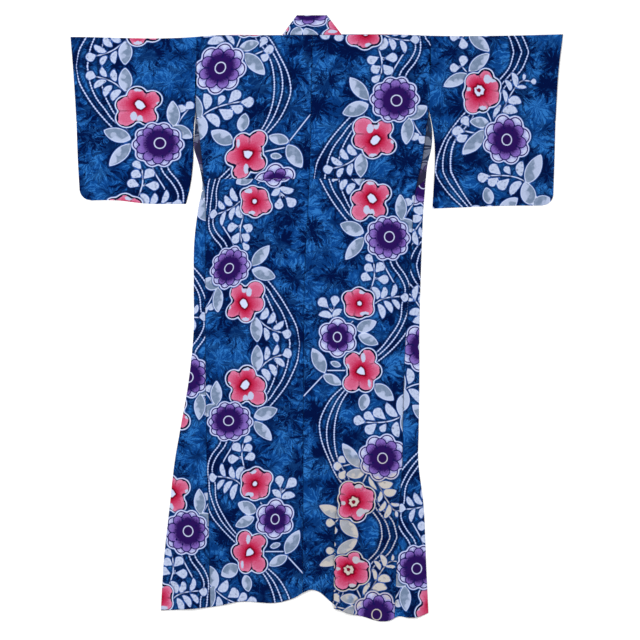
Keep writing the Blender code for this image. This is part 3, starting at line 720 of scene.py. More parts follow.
def front_row(side, down):
    """A row of the front and its print: flat to the side, then round the side fold onto the back."""
    inner = at(FRONT, SIDE_NAME[side] + "_seam", down) + SEAM_GAP / 2
    outer = at(BODY, SIDE_NAME[side] + "_outer", down)
    fold = outer - TURN_INSET
    flat = fold - inner
    station = front_stations(side, down, inner, outer)
    angle = np.clip((station - flat) / TURN_RADIUS, 0, math.pi)
    past = station - flat - math.pi * TURN_RADIUS
    out = inner + np.minimum(station, flat) + TURN_RADIUS * np.sin(angle) - np.maximum(past, 0)
    x = side * out
    y = place_y(x, down) if down else at(TOP_EDGE, "y", x) - TURN_INSET
    lift = edge_pressed(side, x, y, out, down) * relief(x, y)
    turned = FLOOR_LAYER + TURN_RADIUS * (1 - np.cos(angle)) + np.where(past > 0, lift, 0)
    z = np.where(station > flat, turned, front_layer(side, x, down))
    middle_u, top_v = FRONT_PRINT[side]
    u, v = (past - fold) / PRINT_MM + middle_u, top_v - photo_place(x, y)[1]
    edge = np.minimum(station, station[-1] - station)
    return np.column_stack([x, y, z]), np.column_stack([u, v, edge])


def body(side):
    """Half of the body: the back, over the shoulder to the front, and round the side to the back again."""
    downs = np.linspace(0, BODY_LENGTH, round(BODY_LENGTH / ROW_STEP) + 1)
    tuck_top, tuck_foot = WAIST_TUCK - TUCK_ROOM[0], WAIST_TUCK + TUCK_ROOM[1]
    heights = TUCK_HEIGHT * ease(downs, WAIST_TUCK - TUCK_RISE, WAIST_TUCK)
    rows = [(down, height, 0.0) for down, height in zip(downs, heights) if 0 < down < tuck_top]
    rows += [(WAIST_TUCK + past, height, hidden) for past, height, hidden in TUCK_PATH]
    rows += [(down, 0.0, 1.0) for down in downs if down > tuck_foot]
    first, first_print = back_row(side, 0.0, 0.0, 0.0)
    in_neck = np.arange(len(first)) < BACK_NECK_CELLS
    first[:, 1] = np.where(in_neck, SHOULDER_Y - SEAM_GAP / 2, at(TOP_EDGE, "y", first[:, 0]) - TURN_INSET)
    first[:, 2] = BACK_LAYER
    sheet = Sheet()
    back = sheet.grid(*zip((first, first_print), *(back_row(side, *row) for row in rows)))
    front = sheet.grid(*zip(*(front_row(side, down) for down in downs)))
    sheet.turn(front[0], back[0, BACK_NECK_CELLS:], np.array([0.0, 1.0]))
    return sheet


def sleeve_inner(side, down):
    """How far out the sleeve's inner edge lies, along the body's seam and below it."""
    seam = at(BODY, SIDE_NAME[side] + "_outer", down)
    return np.where(down <= SLEEVE_SEAM_LENGTH, seam, at(SLEEVE_INNER, SIDE_NAME[side], down)) + SEAM_GAP / 2


def sleeve_cuff(side, down, foot_down):
    """How far out the cuff lies, drawn in round the lower corner."""
    into_corner = np.clip(CUFF_CORNER - (foot_down - down), 0, CUFF_CORNER)
    return at(CUFF, SIDE_NAME[side], down) - CUFF_CORNER + np.sqrt(CUFF_CORNER**2 - into_corner**2)


def sleeve_plan(side):
    """The sleeve's plan: rows of places from the armhole out to the cuff, close together at the foot.

    A point's height depends on how far out it lies and the other way round, so a few passes settle both.
    """
    even = np.linspace(0, 1, SLEEVE_ROWS + 1)[:, None]
    row_share = 1 - (1 - even) * (1 - FOOT_GATHER * even**FOOT_GATHER_POWER)
    column_share = np.linspace(0, 1, SLEEVE_COLUMNS + 1)
    x = side * between(*SLEEVE_REACH, column_share) * np.ones_like(row_share)
    for _ in range(SETTLING_PASSES):
        foot = at(SLEEVE_FOOT, "y", x)
        y = between(at(TOP_EDGE, "y", x), foot, row_share)
        down = SHOULDER_Y - y
        x = side * between(sleeve_inner(side, down), sleeve_cuff(side, down, SHOULDER_Y - foot), column_share)
    return np.stack([x, y], -1)


def outward_normals(chain, centre):
    """For each point of an outline chain, the unit normal that points away from the centre."""
    padded = np.concatenate([chain[:1], chain, chain[-1:]])
    step = padded[2:] - padded[:-2]
    normal = np.column_stack([step[:, 1], -step[:, 0]]) / np.hypot(step[:, 0], step[:, 1])[:, None]
    away = ((chain - centre) * normal).sum(1)
    return normal * np.where(away < 0, -1, 1)[:, None]


def sleeve_lift(side, x, y):
    """Height of a back point of a sleeve, nothing along its folded edges."""
    down = SHOULDER_Y - y
    top = kept_relief(at(TOP_EDGE, "y", x) - TURN_INSET - y)
    foot = kept_relief(y - at(SLEEVE_FOOT, "y", x) - TURN_INSET)
    cuff = kept_relief(at(CUFF, SIDE_NAME[side], down) - TURN_INSET - abs(x))
    return top * foot * between(1, cuff, ease(down, CUFF_PRESS_START, CUFF_OPENING)) * relief(x, y)


def sleeve_print(side, x, y):
    """U and V of the print on a sleeve, the same on its front layer as on its back one."""
    px, py = photo_place(x, y)
    edge = np.abs(x) - np.abs(x[:, :1])
    if side == LEFT:
        return np.stack([LEFT_SLEEVE_SPREAD * px + LEFT_SLEEVE_U0, py + LEFT_SLEEVE_V0, edge], -1)
    bulge = straight(RIGHT_SLEEVE_BULGE, "shift", py) * np.clip((BULGE_END - px) / BULGE_RAMP, 0, 1)
    return np.stack([px - RIGHT_SLEEVE_X0 + bulge, straight(RIGHT_SLEEVE_V, "v", py), edge], -1)


def sleeve(side):
    """A sleeve: a front and a back layer, turned at the shoulder, the foot and the lower cuff."""
    plan = sleeve_plan(side)
    centre = plan[SLEEVE_ROWS // 2, SLEEVE_COLUMNS // 2]
    closed_from = int(np.argmax(plan[:, -1, 1] < SHOULDER_Y - CUFF_OPENING))
    top = [(0, column) for column in range(SLEEVE_COLUMNS + 1)]
    around = [(row, SLEEVE_COLUMNS) for row in range(closed_from, SLEEVE_ROWS)]
    around += [(SLEEVE_ROWS, column) for column in range(SLEEVE_COLUMNS, -1, -1)]
    chains = [np.array(places).T for places in (top, around)]
    normals = [outward_normals(plan[rows, across], centre) for rows, across in chains]
    for (rows, across), outward in zip(chains, normals):
        plan[rows, across] -= outward * TURN_INSET
    x, y = plan[..., 0], plan[..., 1]
    shown = sleeve_print(side, x, y)
    sheet = Sheet()
    front = sheet.grid(np.stack([x, y, np.full(x.shape, FLOOR_LAYER)], -1), shown)
    back = sheet.grid(np.stack([x, y, BACK_LAYER + sleeve_lift(side, x, y)], -1), shown)
    for (rows, across), outward in zip(chains, normals):
        sheet.turn(front[rows, across], back[rows, across], outward)
    return sheet


def overlap(side):
    """An overlap panel: from the front's seam to the collar above, and to its own free edge below."""
    downs = np.linspace(OVERLAP_START, BODY_LENGTH, round((BODY_LENGTH - OVERLAP_START) / ROW_STEP) + 1)
    downs = np.sort(np.append(downs, [COLLAR_END + SEAM_GAP, COLLAR_END + 3 * SEAM_GAP]))
    rows = []
    for down in downs:
        outer = at(FRONT, SIDE_NAME[side] + "_seam", down) - SEAM_GAP / 2
        inner = at(FRONT, SIDE_NAME[side] + "_edge", down)
        if down <= COLLAR_END + SEAM_GAP:
            inner = side * collar_line(COLLAR_SEAM, side, down) + SEAM_GAP / 2
        x = side * np.linspace(inner, outer, OVERLAP_CELLS + 1)
        y = place_y(x, down)
        edge = np.minimum(np.abs(x - x[0]), np.abs(x - x[-1]))
        shown = np.column_stack([np.abs(x) / PRINT_MM, -photo_place(x, y)[1], edge])
        rows.append((np.column_stack([x, y, front_layer(side, x, down)]), shown))
    sheet = Sheet()
    sheet.grid(*zip(*rows))
    return sheet


def collar_print(points):
    """U and V of the print on the collar, which runs across at the neck."""
    px, py = photo_place(points[..., 0], points[..., 1])
    u = COLLAR_U0 + py * COLLAR_SPREAD
    return np.stack([u, straight(COLLAR_V, "v", px), np.full(px.shape, FAR)], -1)


def collar_fold(side):
    """The diagonal line where the collar turns over at the neck, with its outward normal."""
    base_x, top_x = NECK[side]
    run_x = top_x - base_x
    run = math.hypot(run_x, COLLAR_RISE)
    outward = np.array([side * COLLAR_RISE / run, abs(run_x) / run])
    trim = COLLAR_FOLD_TRIM / run
    start = np.array([base_x + run_x * trim, SHOULDER_Y + COLLAR_RISE * trim])
    share = np.linspace(0, 1, COLLAR_CELLS + 1)[:, None]
    return between(start, np.array([top_x, COLLAR_TOP_Y]), share) - outward * TURN_INSET, outward


def collar_front(side):
    """Rows of the collar's front band, from its end up to the row before the fold."""
    stations = [(down, down) for down in np.arange(COLLAR_END, COLLAR_EVEN_END, -COLLAR_STEP)]
    share = np.linspace(0, 1, COLLAR_CELLS + 1)
    rows = []
    for seam_down, edge_down in [*stations, *COLLAR_HEAD]:
        seam_x = collar_line(COLLAR_SEAM, side, seam_down) - side * SEAM_GAP / 2
        edge_x = collar_line(COLLAR_EDGE, side, edge_down, COLLAR_RISE)
        x, down = between(seam_x, edge_x, share), between(seam_down, edge_down, share)
        rows.append(np.column_stack([x, SHOULDER_Y - down, front_layer(side, x, down)]))
    return rows


def collar():
    """The collar band: two fronts beneath, and the back of the neck between its diagonal folds."""
    sheet = Sheet()
    folds = []
    for side in (LEFT, RIGHT):
        line, outward = collar_fold(side)
        layers = (FLOOR_LAYER, BACK_LAYER)
        low, high = (np.column_stack([line, np.full(len(line), layer)]) for layer in layers)
        rows = np.array([*collar_front(side), low])
        front = sheet.grid(rows, collar_print(rows))
        upper = sheet.add(high, collar_print(high))
        sheet.turn(front[-1], upper, outward)
        folds.append((upper, high))
    (left, left_line), (right, right_line) = folds
    share = np.linspace(0, 1, NECK_CELLS + 1)[1:-1, None, None]
    middle = between(left_line, right_line, share)
    middle[..., 2] += COLLAR_CROWN * np.sin(math.pi * share[..., 0]) * np.linspace(1, 0, len(left_line))
    inner = sheet.add(middle, collar_print(middle))
    sheet.weave(np.concatenate([left[None], inner, right[None]]))
    return sheet


def ellipse_distance(x, y, centre, half):
    """Signed distance to an ellipse, close to exact near its outline."""
    px, py = x - centre[0], y - centre[1]
    scaled = np.hypot(px / half[0], py / half[1])
    steep = np.hypot(px / half[0] ** 2, py / half[1] ** 2)
    return scaled * (scaled - 1) / np.maximum(steep, 1e-6)


def two_arcs(along, across, length, width):
    """Signed distance to a shape between two arcs that meet at both ends of a line, each this wide."""
    radius = (length**2 / 4 + width**2) / (2 * width)
    return np.hypot(along - length / 2, np.abs(across) + radius - width) - radius


def leaf_distance(x, y, leaf):
    """Signed distance to a leaf, fuller nearer its base."""
    along, across, length = line_frame(x, y, leaf[:2], leaf[2:4])
    swell = 1 + LEAF_FULLNESS * (0.5 - np.clip(along / length, -0.2, 1.2))
    return two_arcs(along, across / swell, length, leaf[4] / 2)


def leaflet_distance(x, y, leaflet):
    """Signed distance to a leaflet that bulges to one side, by the sign of its width."""
    along, across, length = line_frame(x, y, leaflet[:2], leaflet[2:4])
    full = abs(leaflet[4])
    return two_arcs(along, across, length, np.where(across * leaflet[4] > 0, full, full * LEAFLET_INNER))


def berry_distance(x, y, berry):
    """Signed distance to a berry: a disc that narrows to a point towards its stem."""
    bx, by, radius, point_x, point_y = berry
    away, along, _ = segment_distance(x, y, (bx, by), (point_x, point_y))
    return away - radius * (1 - along / math.hypot(point_x - bx, point_y - by))


def polygon_distance(x, y, corners):
    """Signed distance to a closed outline of straight sides."""
    nearest = np.full(x.shape, np.inf)
    inside = np.zeros(x.shape, bool)
    for (ax, ay), (bx, by) in zip(corners, (*corners[1:], corners[0])):
        nearest = np.minimum(nearest, segment_distance(x, y, (ax, ay), (bx, by))[0])
        crosses = (ay > y) != (by > y)
        if ay != by:
            inside ^= crosses & (x < (bx - ax) * (y - ay) / (by - ay) + ax)
    return np.where(inside, -nearest, nearest)


def segment_distance(x, y, first, last):
    """Distance to a straight stretch, how far along it the nearest place lies, and the point's side."""
    along, across, length = line_frame(x, y, first, last)
    held = np.clip(along, 0, length)
    return np.hypot(along - held, across), held, np.where(across > 0, 1, -1)


def travelled(points):
    """How far along a line each of its points lies."""
    return np.concatenate([[0], np.cumsum(np.hypot(*np.diff(points, axis=0).T))])


def smooth_line(marks):
    """A smooth line through marks, as closely spaced points."""
    points = np.array(marks, float)
    if len(points) < 3:
        return points
    table = {"run": travelled(points), "x": points[:, 0], "y": points[:, 1]}
    length = table["run"][-1]
    places = np.linspace(0, length, max(3, round(length / LINE_STEP)))
    return np.column_stack([at(table, "x", places), at(table, "y", places)])


def line_fields(x, y, lines):
    """Distance to the nearest of some smooth lines, the same with its side as sign, and how far along it."""
    nearest, signed, along = np.full(x.shape, np.inf), np.full(x.shape, 2 * FAR), np.zeros(x.shape)
    for marks in lines:
        points = smooth_line(marks)
        low, high = points.min(0) - 2 * FAR, points.max(0) + 2 * FAR
        place = np.flatnonzero((x > low[0]) & (x < high[0]) & (y > low[1]) & (y < high[1]))
        for start, first, last in zip(travelled(points), points, points[1:]):
            distance, run, side = segment_distance(x[place], y[place], first, last)
            closer = distance < nearest[place]
            chosen = place[closer]
            nearest[chosen] = distance[closer]
            signed[chosen] = (distance * side)[closer]
            along[chosen] = start + run[closer]
    return nearest, signed, along


def strand_fields(x, y):
    """Side distance from each strand of the nearest bundle, distance from its middle, and place along it."""
    nearest, reached = np.full(x.shape, 2 * FAR), np.zeros(x.shape)
    offsets = np.full((3, len(x)), 2 * FAR)
    for bundle in BUNDLES:
        distance, side, along = line_fields(x, y, bundle[1:2])
        closer = distance < nearest
        nearest, reached = np.where(closer, distance, nearest), np.where(closer, along, reached)
        offsets[1] = np.where(closer, side, offsets[1])
        spine = smooth_line(bundle[1])
        for place in (0, 2):
            outer = smooth_line(bundle[place])
            middle = outer[len(outer) // 2]
            sign = np.sign(line_fields(middle[:1], middle[1:], bundle[1:2])[1][0])
            gap = sign * line_fields(*spine.T, [bundle[place]])[0]
            shift = np.interp(along, travelled(spine), np.clip(gap, -FAR, FAR))
            offsets[place] = np.where(closer, side - shift, offsets[place])
    return offsets, nearest, reached


def smooth_union(distances, blend):
    """Signed distance to shapes joined with their notches rounded over."""
    joined = distances[0]
    for distance in distances[1:]:
        share = np.clip(0.5 + 0.5 * (distance - joined) / blend, 0, 1)
        joined = between(distance, joined, share) - blend * share * (1 - share)
    return joined


def red_fields(x, y):
    """Distances to the red flowers' outlines, hearts and pale patches, and from the clefts between petals."""
    outline, heart, patch, cleft = (np.full(x.shape, FAR) for _ in range(4))
    for flower in RED_FLOWERS:
        disc = flower["disc"]
        near = np.hypot(x - disc[0], y - disc[1]) < FLOWER_REACH
        nx, ny = x[near], y[near]
        petals = [np.hypot(nx - px, ny - py) - radius for px, py, radius in (*flower["petals"], disc)]
        joined = smooth_union(petals, PETAL_BLEND)
        two = np.sort(petals[:-1], axis=0)[:2]
        cleft[near] = np.where(joined < outline[near], two[1] - two[0], cleft[near])
        outline[near] = np.minimum(outline[near], joined)
        middle = polygon_distance(nx, ny, flower["heart"])
        if "dot" in flower:
            dot_x, dot_y, dot_radius = flower["dot"]
            middle = np.maximum(middle, dot_radius - np.hypot(nx - dot_x, ny - dot_y))
        heart[near] = np.minimum(heart[near], middle)
        for px, py, width, height in flower["patches"]:
            spot = ellipse_distance(nx, ny, (px, py), (width / 2, height / 2))
            patch[near] = np.minimum(patch[near], spot)
    return np.column_stack([outline, heart, patch]), cleft


def ring_of_petals(x, y, count, petal, core, turn):
    """Signed distance to a ring of round petals and the disc inside them."""
    step = 2 * math.pi / count
    away, angle = np.hypot(x, y), np.arctan2(y, x) - turn
    folded = np.abs((angle + step / 2) % step - step / 2)
    middle, radius = petal
    return np.minimum(np.hypot(away * np.cos(folded) - middle, away * np.sin(folded)) - radius, away - core)


def purple_fields(x, y):
    """Distances to the purple flowers' outlines, inner petals and rings, and to their pale petals."""
    outline, petals, ring, pale = (np.full(x.shape, FAR) for _ in range(4))
    for flower in PURPLE_FLOWERS:
        centre, count, turn, core = (flower[name] for name in ("centre", "count", "turn", "core"))
        px, py = x - centre[0], y - centre[1]
        near = np.hypot(px, py) < FLOWER_REACH
        px, py = px[near], py[near]
        inner = ring_of_petals(px, py, count, flower["inner"], core, turn)
        outer = ring_of_petals(px, py, count, flower["pale"], core, turn + math.pi / count)
        ring_x, ring_y, *half = flower["ring"]
        inwards = ellipse_distance(x[near], y[near], (ring_x, ring_y), half)
        reach = sum(flower["inner"]) - half[1]
        inwards = inwards + np.maximum(inwards - RING_WIDTH, 0) * (PURPLE_REACH / reach - 1)
        rim = np.minimum(inner, outer) - PURPLE_RIM
        for field, distance in ((petals, inner), (pale, outer), (outline, rim), (ring, inwards)):
            field[near] = np.minimum(field[near], distance)
    return np.column_stack([outline, petals, ring]), pale


def leaf_fields(x, y):
    """Distances to the leaves, to the edge of their slate half and to their round highlight.

    Where the slate half and the highlight lie, and how they lean, goes by each leaf's number.
    """
    outline, slate, light = (np.full(x.shape, FAR) for _ in range(3))
    for number, leaf in enumerate(LEAVES):
        distance = leaf_distance(x, y, leaf)
        along, across, length = line_frame(x, y, leaf[:2], leaf[2:4])
        lean = (-1) ** number * (2.0 + number % 3)
        edge = (along - length * (0.4 + 0.1 * (number % 3))) * (0.3 if number % 4 else -0.3)
        edge = edge + across * math.copysign(0.8, lean) + 1.3 * np.sin(along * 0.6 + number)
        spot = np.hypot(along - length * (0.62 - 0.12 * (number % 2)), across - lean * 0.5) - leaf[4] * 0.19
        closer = distance < outline
        outline = np.where(closer, distance, outline)
        slate, light = np.where(closer, edge, slate), np.where(closer, spot, light)
    return np.column_stack([outline, np.clip(slate, -FAR, FAR), np.clip(light, -FAR, FAR)])


def sprig_distance(x, y):
    """Distance to the leaflets and berries."""
    distances = [leaflet_distance(x, y, leaflet) for leaflet in LEAFLETS]
    distances += [berry_distance(x, y, berry) for berry in BERRIES]
    return np.minimum(np.min(distances, axis=0), FAR)


def print_fields(prints, points, stained):
    """The print's fields at each point of a sheet, for the materials to draw from."""
    u, v, edge = prints.T
    x, y = u + ORIGIN[0], ORIGIN[1] + UNIT - np.abs(v % (2 * UNIT) - UNIT)
    px, py = photo_place(points[:, 0], points[:, 1])
    stain = ease(px, *STAIN_START) * (1 - ease(px, *STAIN_END)) * ease(py, *STAIN_TOP)
    stain = stained * stain * (points[:, 2] > BACK_FROM)
    stem, stem_side, _ = line_fields(x, y, STEMS)
    strands, bundle, along = strand_fields(x, y)
    red, cleft = red_fields(x, y)
    purple, pale = purple_fields(x, y)
    return {
        "cloth_place": np.column_stack([u + GROUND_APART * (points[:, 0].mean() > 0), v, stain]),
        "red_flower": red,
        "purple_flower": purple,
        "leaf": leaf_fields(x, y),
        "sprig": np.column_stack([sprig_distance(x, y), stem_side, np.minimum(stem, FAR)]),
        "strands": strands.T,
        "bundle": np.column_stack([bundle, along, pale]),
        "seam": np.column_stack([np.clip(edge / PRINT_MM, 0, FAR), cleft, np.zeros(len(u))]),
    }


def maths(operation, backwards=False):
    """A method that adds this Math node to a reading, with its values swapped for a reflected operator."""
    def added(self, *others):
        values = (*others, self) if backwards else (self, *others)
        return self.nodes.add("ShaderNodeMath", {"operation": operation}, dict(enumerate(values)))
    return added


class Reading:
    """A socket's value. Python's operators add the Math nodes."""

    def __init__(self, nodes, socket):
        self.nodes, self.socket = nodes, socket

    __add__ = __radd__ = maths("ADD")
    __sub__, __rsub__ = maths("SUBTRACT"), maths("SUBTRACT", backwards=True)
    __mul__ = __rmul__ = maths("MULTIPLY")
    __abs__, sine = maths("ABSOLUTE"), maths("SINE")
    least, most = maths("MINIMUM"), maths("MAXIMUM")

    def step(self, start, end):
        """A smooth step from 0 at start to 1 at end, either way round."""
        falling = float(start > end)
        return self.nodes.add("ShaderNodeMapRange", {"interpolation_type": "SMOOTHSTEP"}, {
            "Value": self, "From Min": min(start, end), "From Max": max(start, end),
            "To Min": falling, "To Max": 1 - falling,
        })

    def output(self, name):
        """Another output of the same node."""
        return Reading(self.nodes, self.socket.node.outputs[name])


class Nodes:
    """A material's nodes."""

    def __init__(self, material):
        material.use_nodes = True
        self.tree = material.node_tree
        self.tree.nodes.clear()

    def add(self, kind, settings=None, sockets=None, output=0):
        """Adds a node with settings, and values or links on its sockets, and returns one of its outputs."""
        node = self.tree.nodes.new(kind)
        for name, value in (settings or {}).items():
            setattr(node, name, value)
        for name, value in (sockets or {}).items():
            if isinstance(value, Reading):
                self.tree.links.new(value.socket, node.inputs[name])
            else:
                node.inputs[name].default_value = value
        return Reading(self, node.outputs[output]) if len(node.outputs) else None

    def lay(self, colour, *layers):
        """A colour with others laid over it in turn, each by its share. A name stands for a setting."""
        for over, share in layers:
            low, high = (dye(each) if isinstance(each, str) else each for each in (colour, over))
            colour = self.add("ShaderNodeMix", {"data_type": "RGBA"}, {0: share, 6: low, 7: high}, 2)
        return colour

    def vector(self, operation, *values):
        """Adds a Vector Math node."""
        return self.add("ShaderNodeVectorMath", {"operation": operation}, dict(enumerate(values)))

    def fields(self, name):
        """The three fields of one of the print's attributes, and the whole attribute."""
        stored = self.add("ShaderNodeAttribute", {"attribute_name": name}, output="Vector")
        parts = self.add("ShaderNodeSeparateXYZ", None, {0: stored})
        return parts, parts.output("Y"), parts.output("Z"), stored

    def noise(self, place, scale, detail=2.0, roughness=0.5):
        """Noise from 0 to 1."""
        sockets = {"Vector": place, "Scale": scale, "Detail": detail, "Roughness": roughness}
        return self.add("ShaderNodeTexNoise", None, sockets)

    def surface(self, sockets):
        """Ends the material in a Principled shader with these values or links."""
        shader = self.add("ShaderNodeBsdfPrincipled", None, sockets)
        self.add("ShaderNodeOutputMaterial", None, {"Surface": shader})


def dye(name):
    """One of the settings' colours."""
    return (*getattr(bpy.context.scene.yukata_cloth, name), 1.0)


def burst_stroke(nodes, place, size, seed, rays):
    """Strokes that fan out from the middle of each cell, from 0 to 1, and how far out they are."""
    in_cells = nodes.vector("MULTIPLY", place, (1 / size, 1 / size, 0))
    moved = nodes.vector("ADD", in_cells, (seed, seed * 1.7, 0))
    sockets = {"Vector": moved, "Scale": 1.0, "Randomness": 0.9}
    cells = nodes.add("ShaderNodeTexVoronoi", {"voronoi_dimensions": "2D"}, sockets)
    away = nodes.vector("SUBTRACT", moved, cells.output("Position"))
    turned = nodes.vector("MULTIPLY", nodes.vector("NORMALIZE", away), (rays, rays, 0))
    own = nodes.vector("MULTIPLY", cells.output("Color"), BURST_APART)
    spread = nodes.vector("ADD", nodes.vector("MULTIPLY", away, (BURST_SPREAD, BURST_SPREAD, 0)), own)
    return nodes.noise(nodes.vector("ADD", turned, spread), 1.0, 2.5, 0.6), cells


def ground_colour(nodes, place):
    """Indigo with feathery bursts of darker dye, and light streaks between their strokes."""
    bend = nodes.noise(place, 0.14, 3.0).output("Color")
    bent = nodes.vector("ADD", place, nodes.vector("MULTIPLY", bend, GROUND_BEND))
    wide, wide_reach = burst_stroke(nodes, bent, *WIDE_BURSTS)
    fine, fine_reach = burst_stroke(nodes, bent, *FINE_BURSTS)
    thin, _ = burst_stroke(nodes, bent, *THIN_BURSTS)
    cloud = nodes.noise(place, 0.035, 3.0, 0.55)
    grit = nodes.noise(place, 0.6, 3.0, 0.65) - 0.5
    dark = (wide + (0.46 - wide_reach) * 0.55 + grit * 0.3).step(0.5, 0.6)
    dark_fine = (fine + (0.42 - fine_reach) * 0.45 + grit * 0.3).step(0.51, 0.61)
    light = (thin + (0.5 - cloud) * 0.5 + grit * 0.35).step(0.46, 0.6)
    shade = (dark * 0.68 + dark_fine * 0.5 + cloud.step(0.47, 0.66) * 0.45).least(1.0)
    return nodes.lay("ground", ("ground_light", light * (1 - shade * 0.6)), ("ground_dark", shade))


# Below, a step's two places are print pixels from an outline, negative inside it, or values of a noise.
# What a step is multiplied by is the largest share that its colour can have.
def red_petals(nodes, edge, heart, patch, cleft, white, grain, streak, wobble):
    """The red flowers inside their white outline: pink edges, a crimson middle and a white heart."""
    rosy = (edge + streak * 6.0).step(-6.0, -2.0) * 0.55 + (heart + streak * 12.0).step(4.0, 13.0) * 0.55
    between_petals = (cleft + wobble * 1.6).step(2.4, 0.4) * (heart + wobble * 3.0).step(3.5, 7.0)
    pale = nodes.lay(white, ("leaf_light", 0.5))
    return nodes.lay(
        "red",
        ("pink", rosy.least(1.0)),
        ("crimson", (heart + wobble * 2.0 - streak * 10.0).step(6.5, 0.5)),
        ("crimson", grain.step(0.6, 0.7) * 0.35),
        ("heart_rim", between_petals * (edge.step(-7.0, -3.0) * 0.45 + 0.25)),
        (pale, (patch + wobble * 2.4).step(0.5, -0.4) * 0.95),
        ("navy", grain.step(0.68, 0.73) * 0.45),
        ("heart_rim", (heart + wobble * 0.6).step(2.3, 0.9) * 0.85),
        (white, (heart + wobble * 0.7).step(0.3, -0.3)),
    )


def purple_petals(nodes, edge, petals, pale, ring, white, hand, wobble, streak):
    """The purple flowers inside their white outline: pale petals, inner ones over them, and a white ring."""
    reach = ring + hand * 4.0 + streak * 6.0
    tip = nodes.lay("pale_lilac", (white, (petals + hand * 2.0 + streak * 9.0).step(1.6, 5.4) * 0.85))
    inner = nodes.lay(
        "purple",
        ("lilac", reach.step(8.6, 13.6)),
        ("pale_lilac", reach.step(12.6, 16.4) * 0.6),
        ("violet_line", hand.step(0.55, 0.7) * 0.3),
    )
    return nodes.lay(
        "pale_lilac",
        ("violet_line", (edge + wobble * 0.4).step(-1.2, -1.5)),
        (tip, (pale + wobble * 0.4).step(0.1, -0.35)),
        ("violet_line", (petals + wobble * 0.4).step(1.15, 0.75)),
        (inner, (petals + wobble * 0.4).step(0.2, -0.2)),
        ("purple_dark", ring.step(0.4, -0.4)),
        (white, abs(ring + wobble * 0.5).step(0.75, 0.25) * 0.9),
    )


def print_colour(nodes, stain, place):
    """The whole print, drawn from the shapes' fields: ground, strands, sprigs, leaves and flowers."""
    red, heart, patch, _ = nodes.fields("red_flower")
    purple, petals, ring, _ = nodes.fields("purple_flower")
    leaf, slate, light, _ = nodes.fields("leaf")
    leaflet, stem_side, stem, _ = nodes.fields("sprig")
    outer, middle, other, _ = nodes.fields("strands")
    bundle, along, pale, _ = nodes.fields("bundle")
    seam, cleft, _, _ = nodes.fields("seam")
    wobble = nodes.noise(place, 0.55, 3.0, 0.6) - 0.5
    hand = nodes.noise(place, 0.22)
    grain = nodes.noise(place, 1.5, 3.0, 0.65)
    streak = nodes.noise(place, 0.75, 3.0, 0.6) - 0.5
    blotch = nodes.noise(place, 0.42)
    aged = (stain * nodes.noise(place, 0.06).step(0.3, 0.42)).least(1.0)
    white = nodes.lay("white", ("white_shade", grain.step(0.45, 0.75) * 0.55), ("stain", aged * 0.9))
    soft = nodes.lay("leaf_light", ("stain", aged * 0.75))

    # The ground, navy close to the shapes, with the beaded strands and the stems on it
    nearest = red.least(purple).least(leaf).least(leaflet)
    strand = abs(outer).least(abs(middle)).least(abs(other)).most((bundle - BUNDLE_HALF_WIDTH) * 2.0)
    halo = nearest.step(4.5, 0.3) * 0.5 + strand.step(4.0, 1.4) * 0.85 + stem.step(3.0, 1.0) * 0.5
    thin = strand + wobble * 0.3 - (along * (2 * math.pi / BEAD_LENGTH)).sine() * 0.2
    stalk = (abs(stem_side) + wobble * 0.3).most((stem - 1.5) * 3.0)
    colour = nodes.lay(
        ground_colour(nodes, place),
        ("navy", halo.least(0.92) * (0.65 + hand * 0.55).least(1.0)),
        ("edge_blue", thin.step(1.3, 0.5) * 0.7),
        (white, thin.step(0.65, 0.15)),
        ("edge_blue", stalk.step(1.3, 0.5) * 0.7),
        (white, stalk.step(0.7, 0.2)),
    )

    # What fills each kind of shape inside its edge
    leaf_edge, red_edge, purple_edge = leaf + wobble * 0.6, red + wobble * 0.6, purple + wobble * 0.5
    berry = nodes.lay(
        white,
        (soft, (leaflet + blotch * 1.5).step(0.4, -1.0) * 0.5),
        (soft, blotch.step(0.46, 0.6) * 0.8),
        ("navy", blotch.step(0.62, 0.7) * 0.5),
    )
    lit = nodes.lay(soft, (white, 0.25))
    leaf_inside = nodes.lay(
        "leaf_grey",
        ("leaf_light", hand.step(0.4, 0.75) * 0.4),
        ("stain", aged * 0.4),
        (lit, (slate + wobble * 2.2).step(0.6, 2.6)),
        (lit, (light + wobble * 2.0).step(0.6, -0.6) * 0.7),
    )
    uneven = nodes.noise(place, 0.11).step(0.38, 0.62) * 1.4 + 0.1
    red_inside = nodes.lay("navy", (
        red_petals(nodes, red_edge, heart, patch, cleft, white, grain, streak, wobble),
        (red_edge + uneven).step(-1.3, -1.8),
    ))
    purple_inside = purple_petals(nodes, purple_edge, petals, pale, ring, white, hand, wobble, streak)

    # Each shape in turn: a dark halo, its half-dyed edge, and its body with a white outline round the inside
    for edge, inside, inside_edge, halo_edge, halo_share, body_edge in (
        (leaflet + wobble * 0.6, berry, None, (1.8, 1.0), 0.6, (0.1, -0.45)),
        (leaf_edge, leaf_inside, (-0.5, -1.0), (1.8, 1.0), 0.5, (0.15, -0.35)),
        (red_edge, red_inside, (-0.85, -1.3), (2.0, 1.1), 0.5, (0.15, -0.35)),
        (purple_edge, purple_inside, (-0.7, -1.1), (2.0, 1.1), 0.5, (0.15, -0.35)),
    ):
        outlined = nodes.lay(white, (inside, edge.step(*inside_edge))) if inside_edge else inside
        colour = nodes.lay(
            colour,
            ("navy", edge.step(*halo_edge) * halo_share),
            ("edge_blue", edge.step(0.9, 0.2) * 0.7),
            (outlined, edge.step(*body_edge)),
        )
    # Painted shade: the seams and the pieces' edges darkened with navy
    return nodes.lay(colour, ("navy", seam.step(0.7, 0.1) * 0.35))


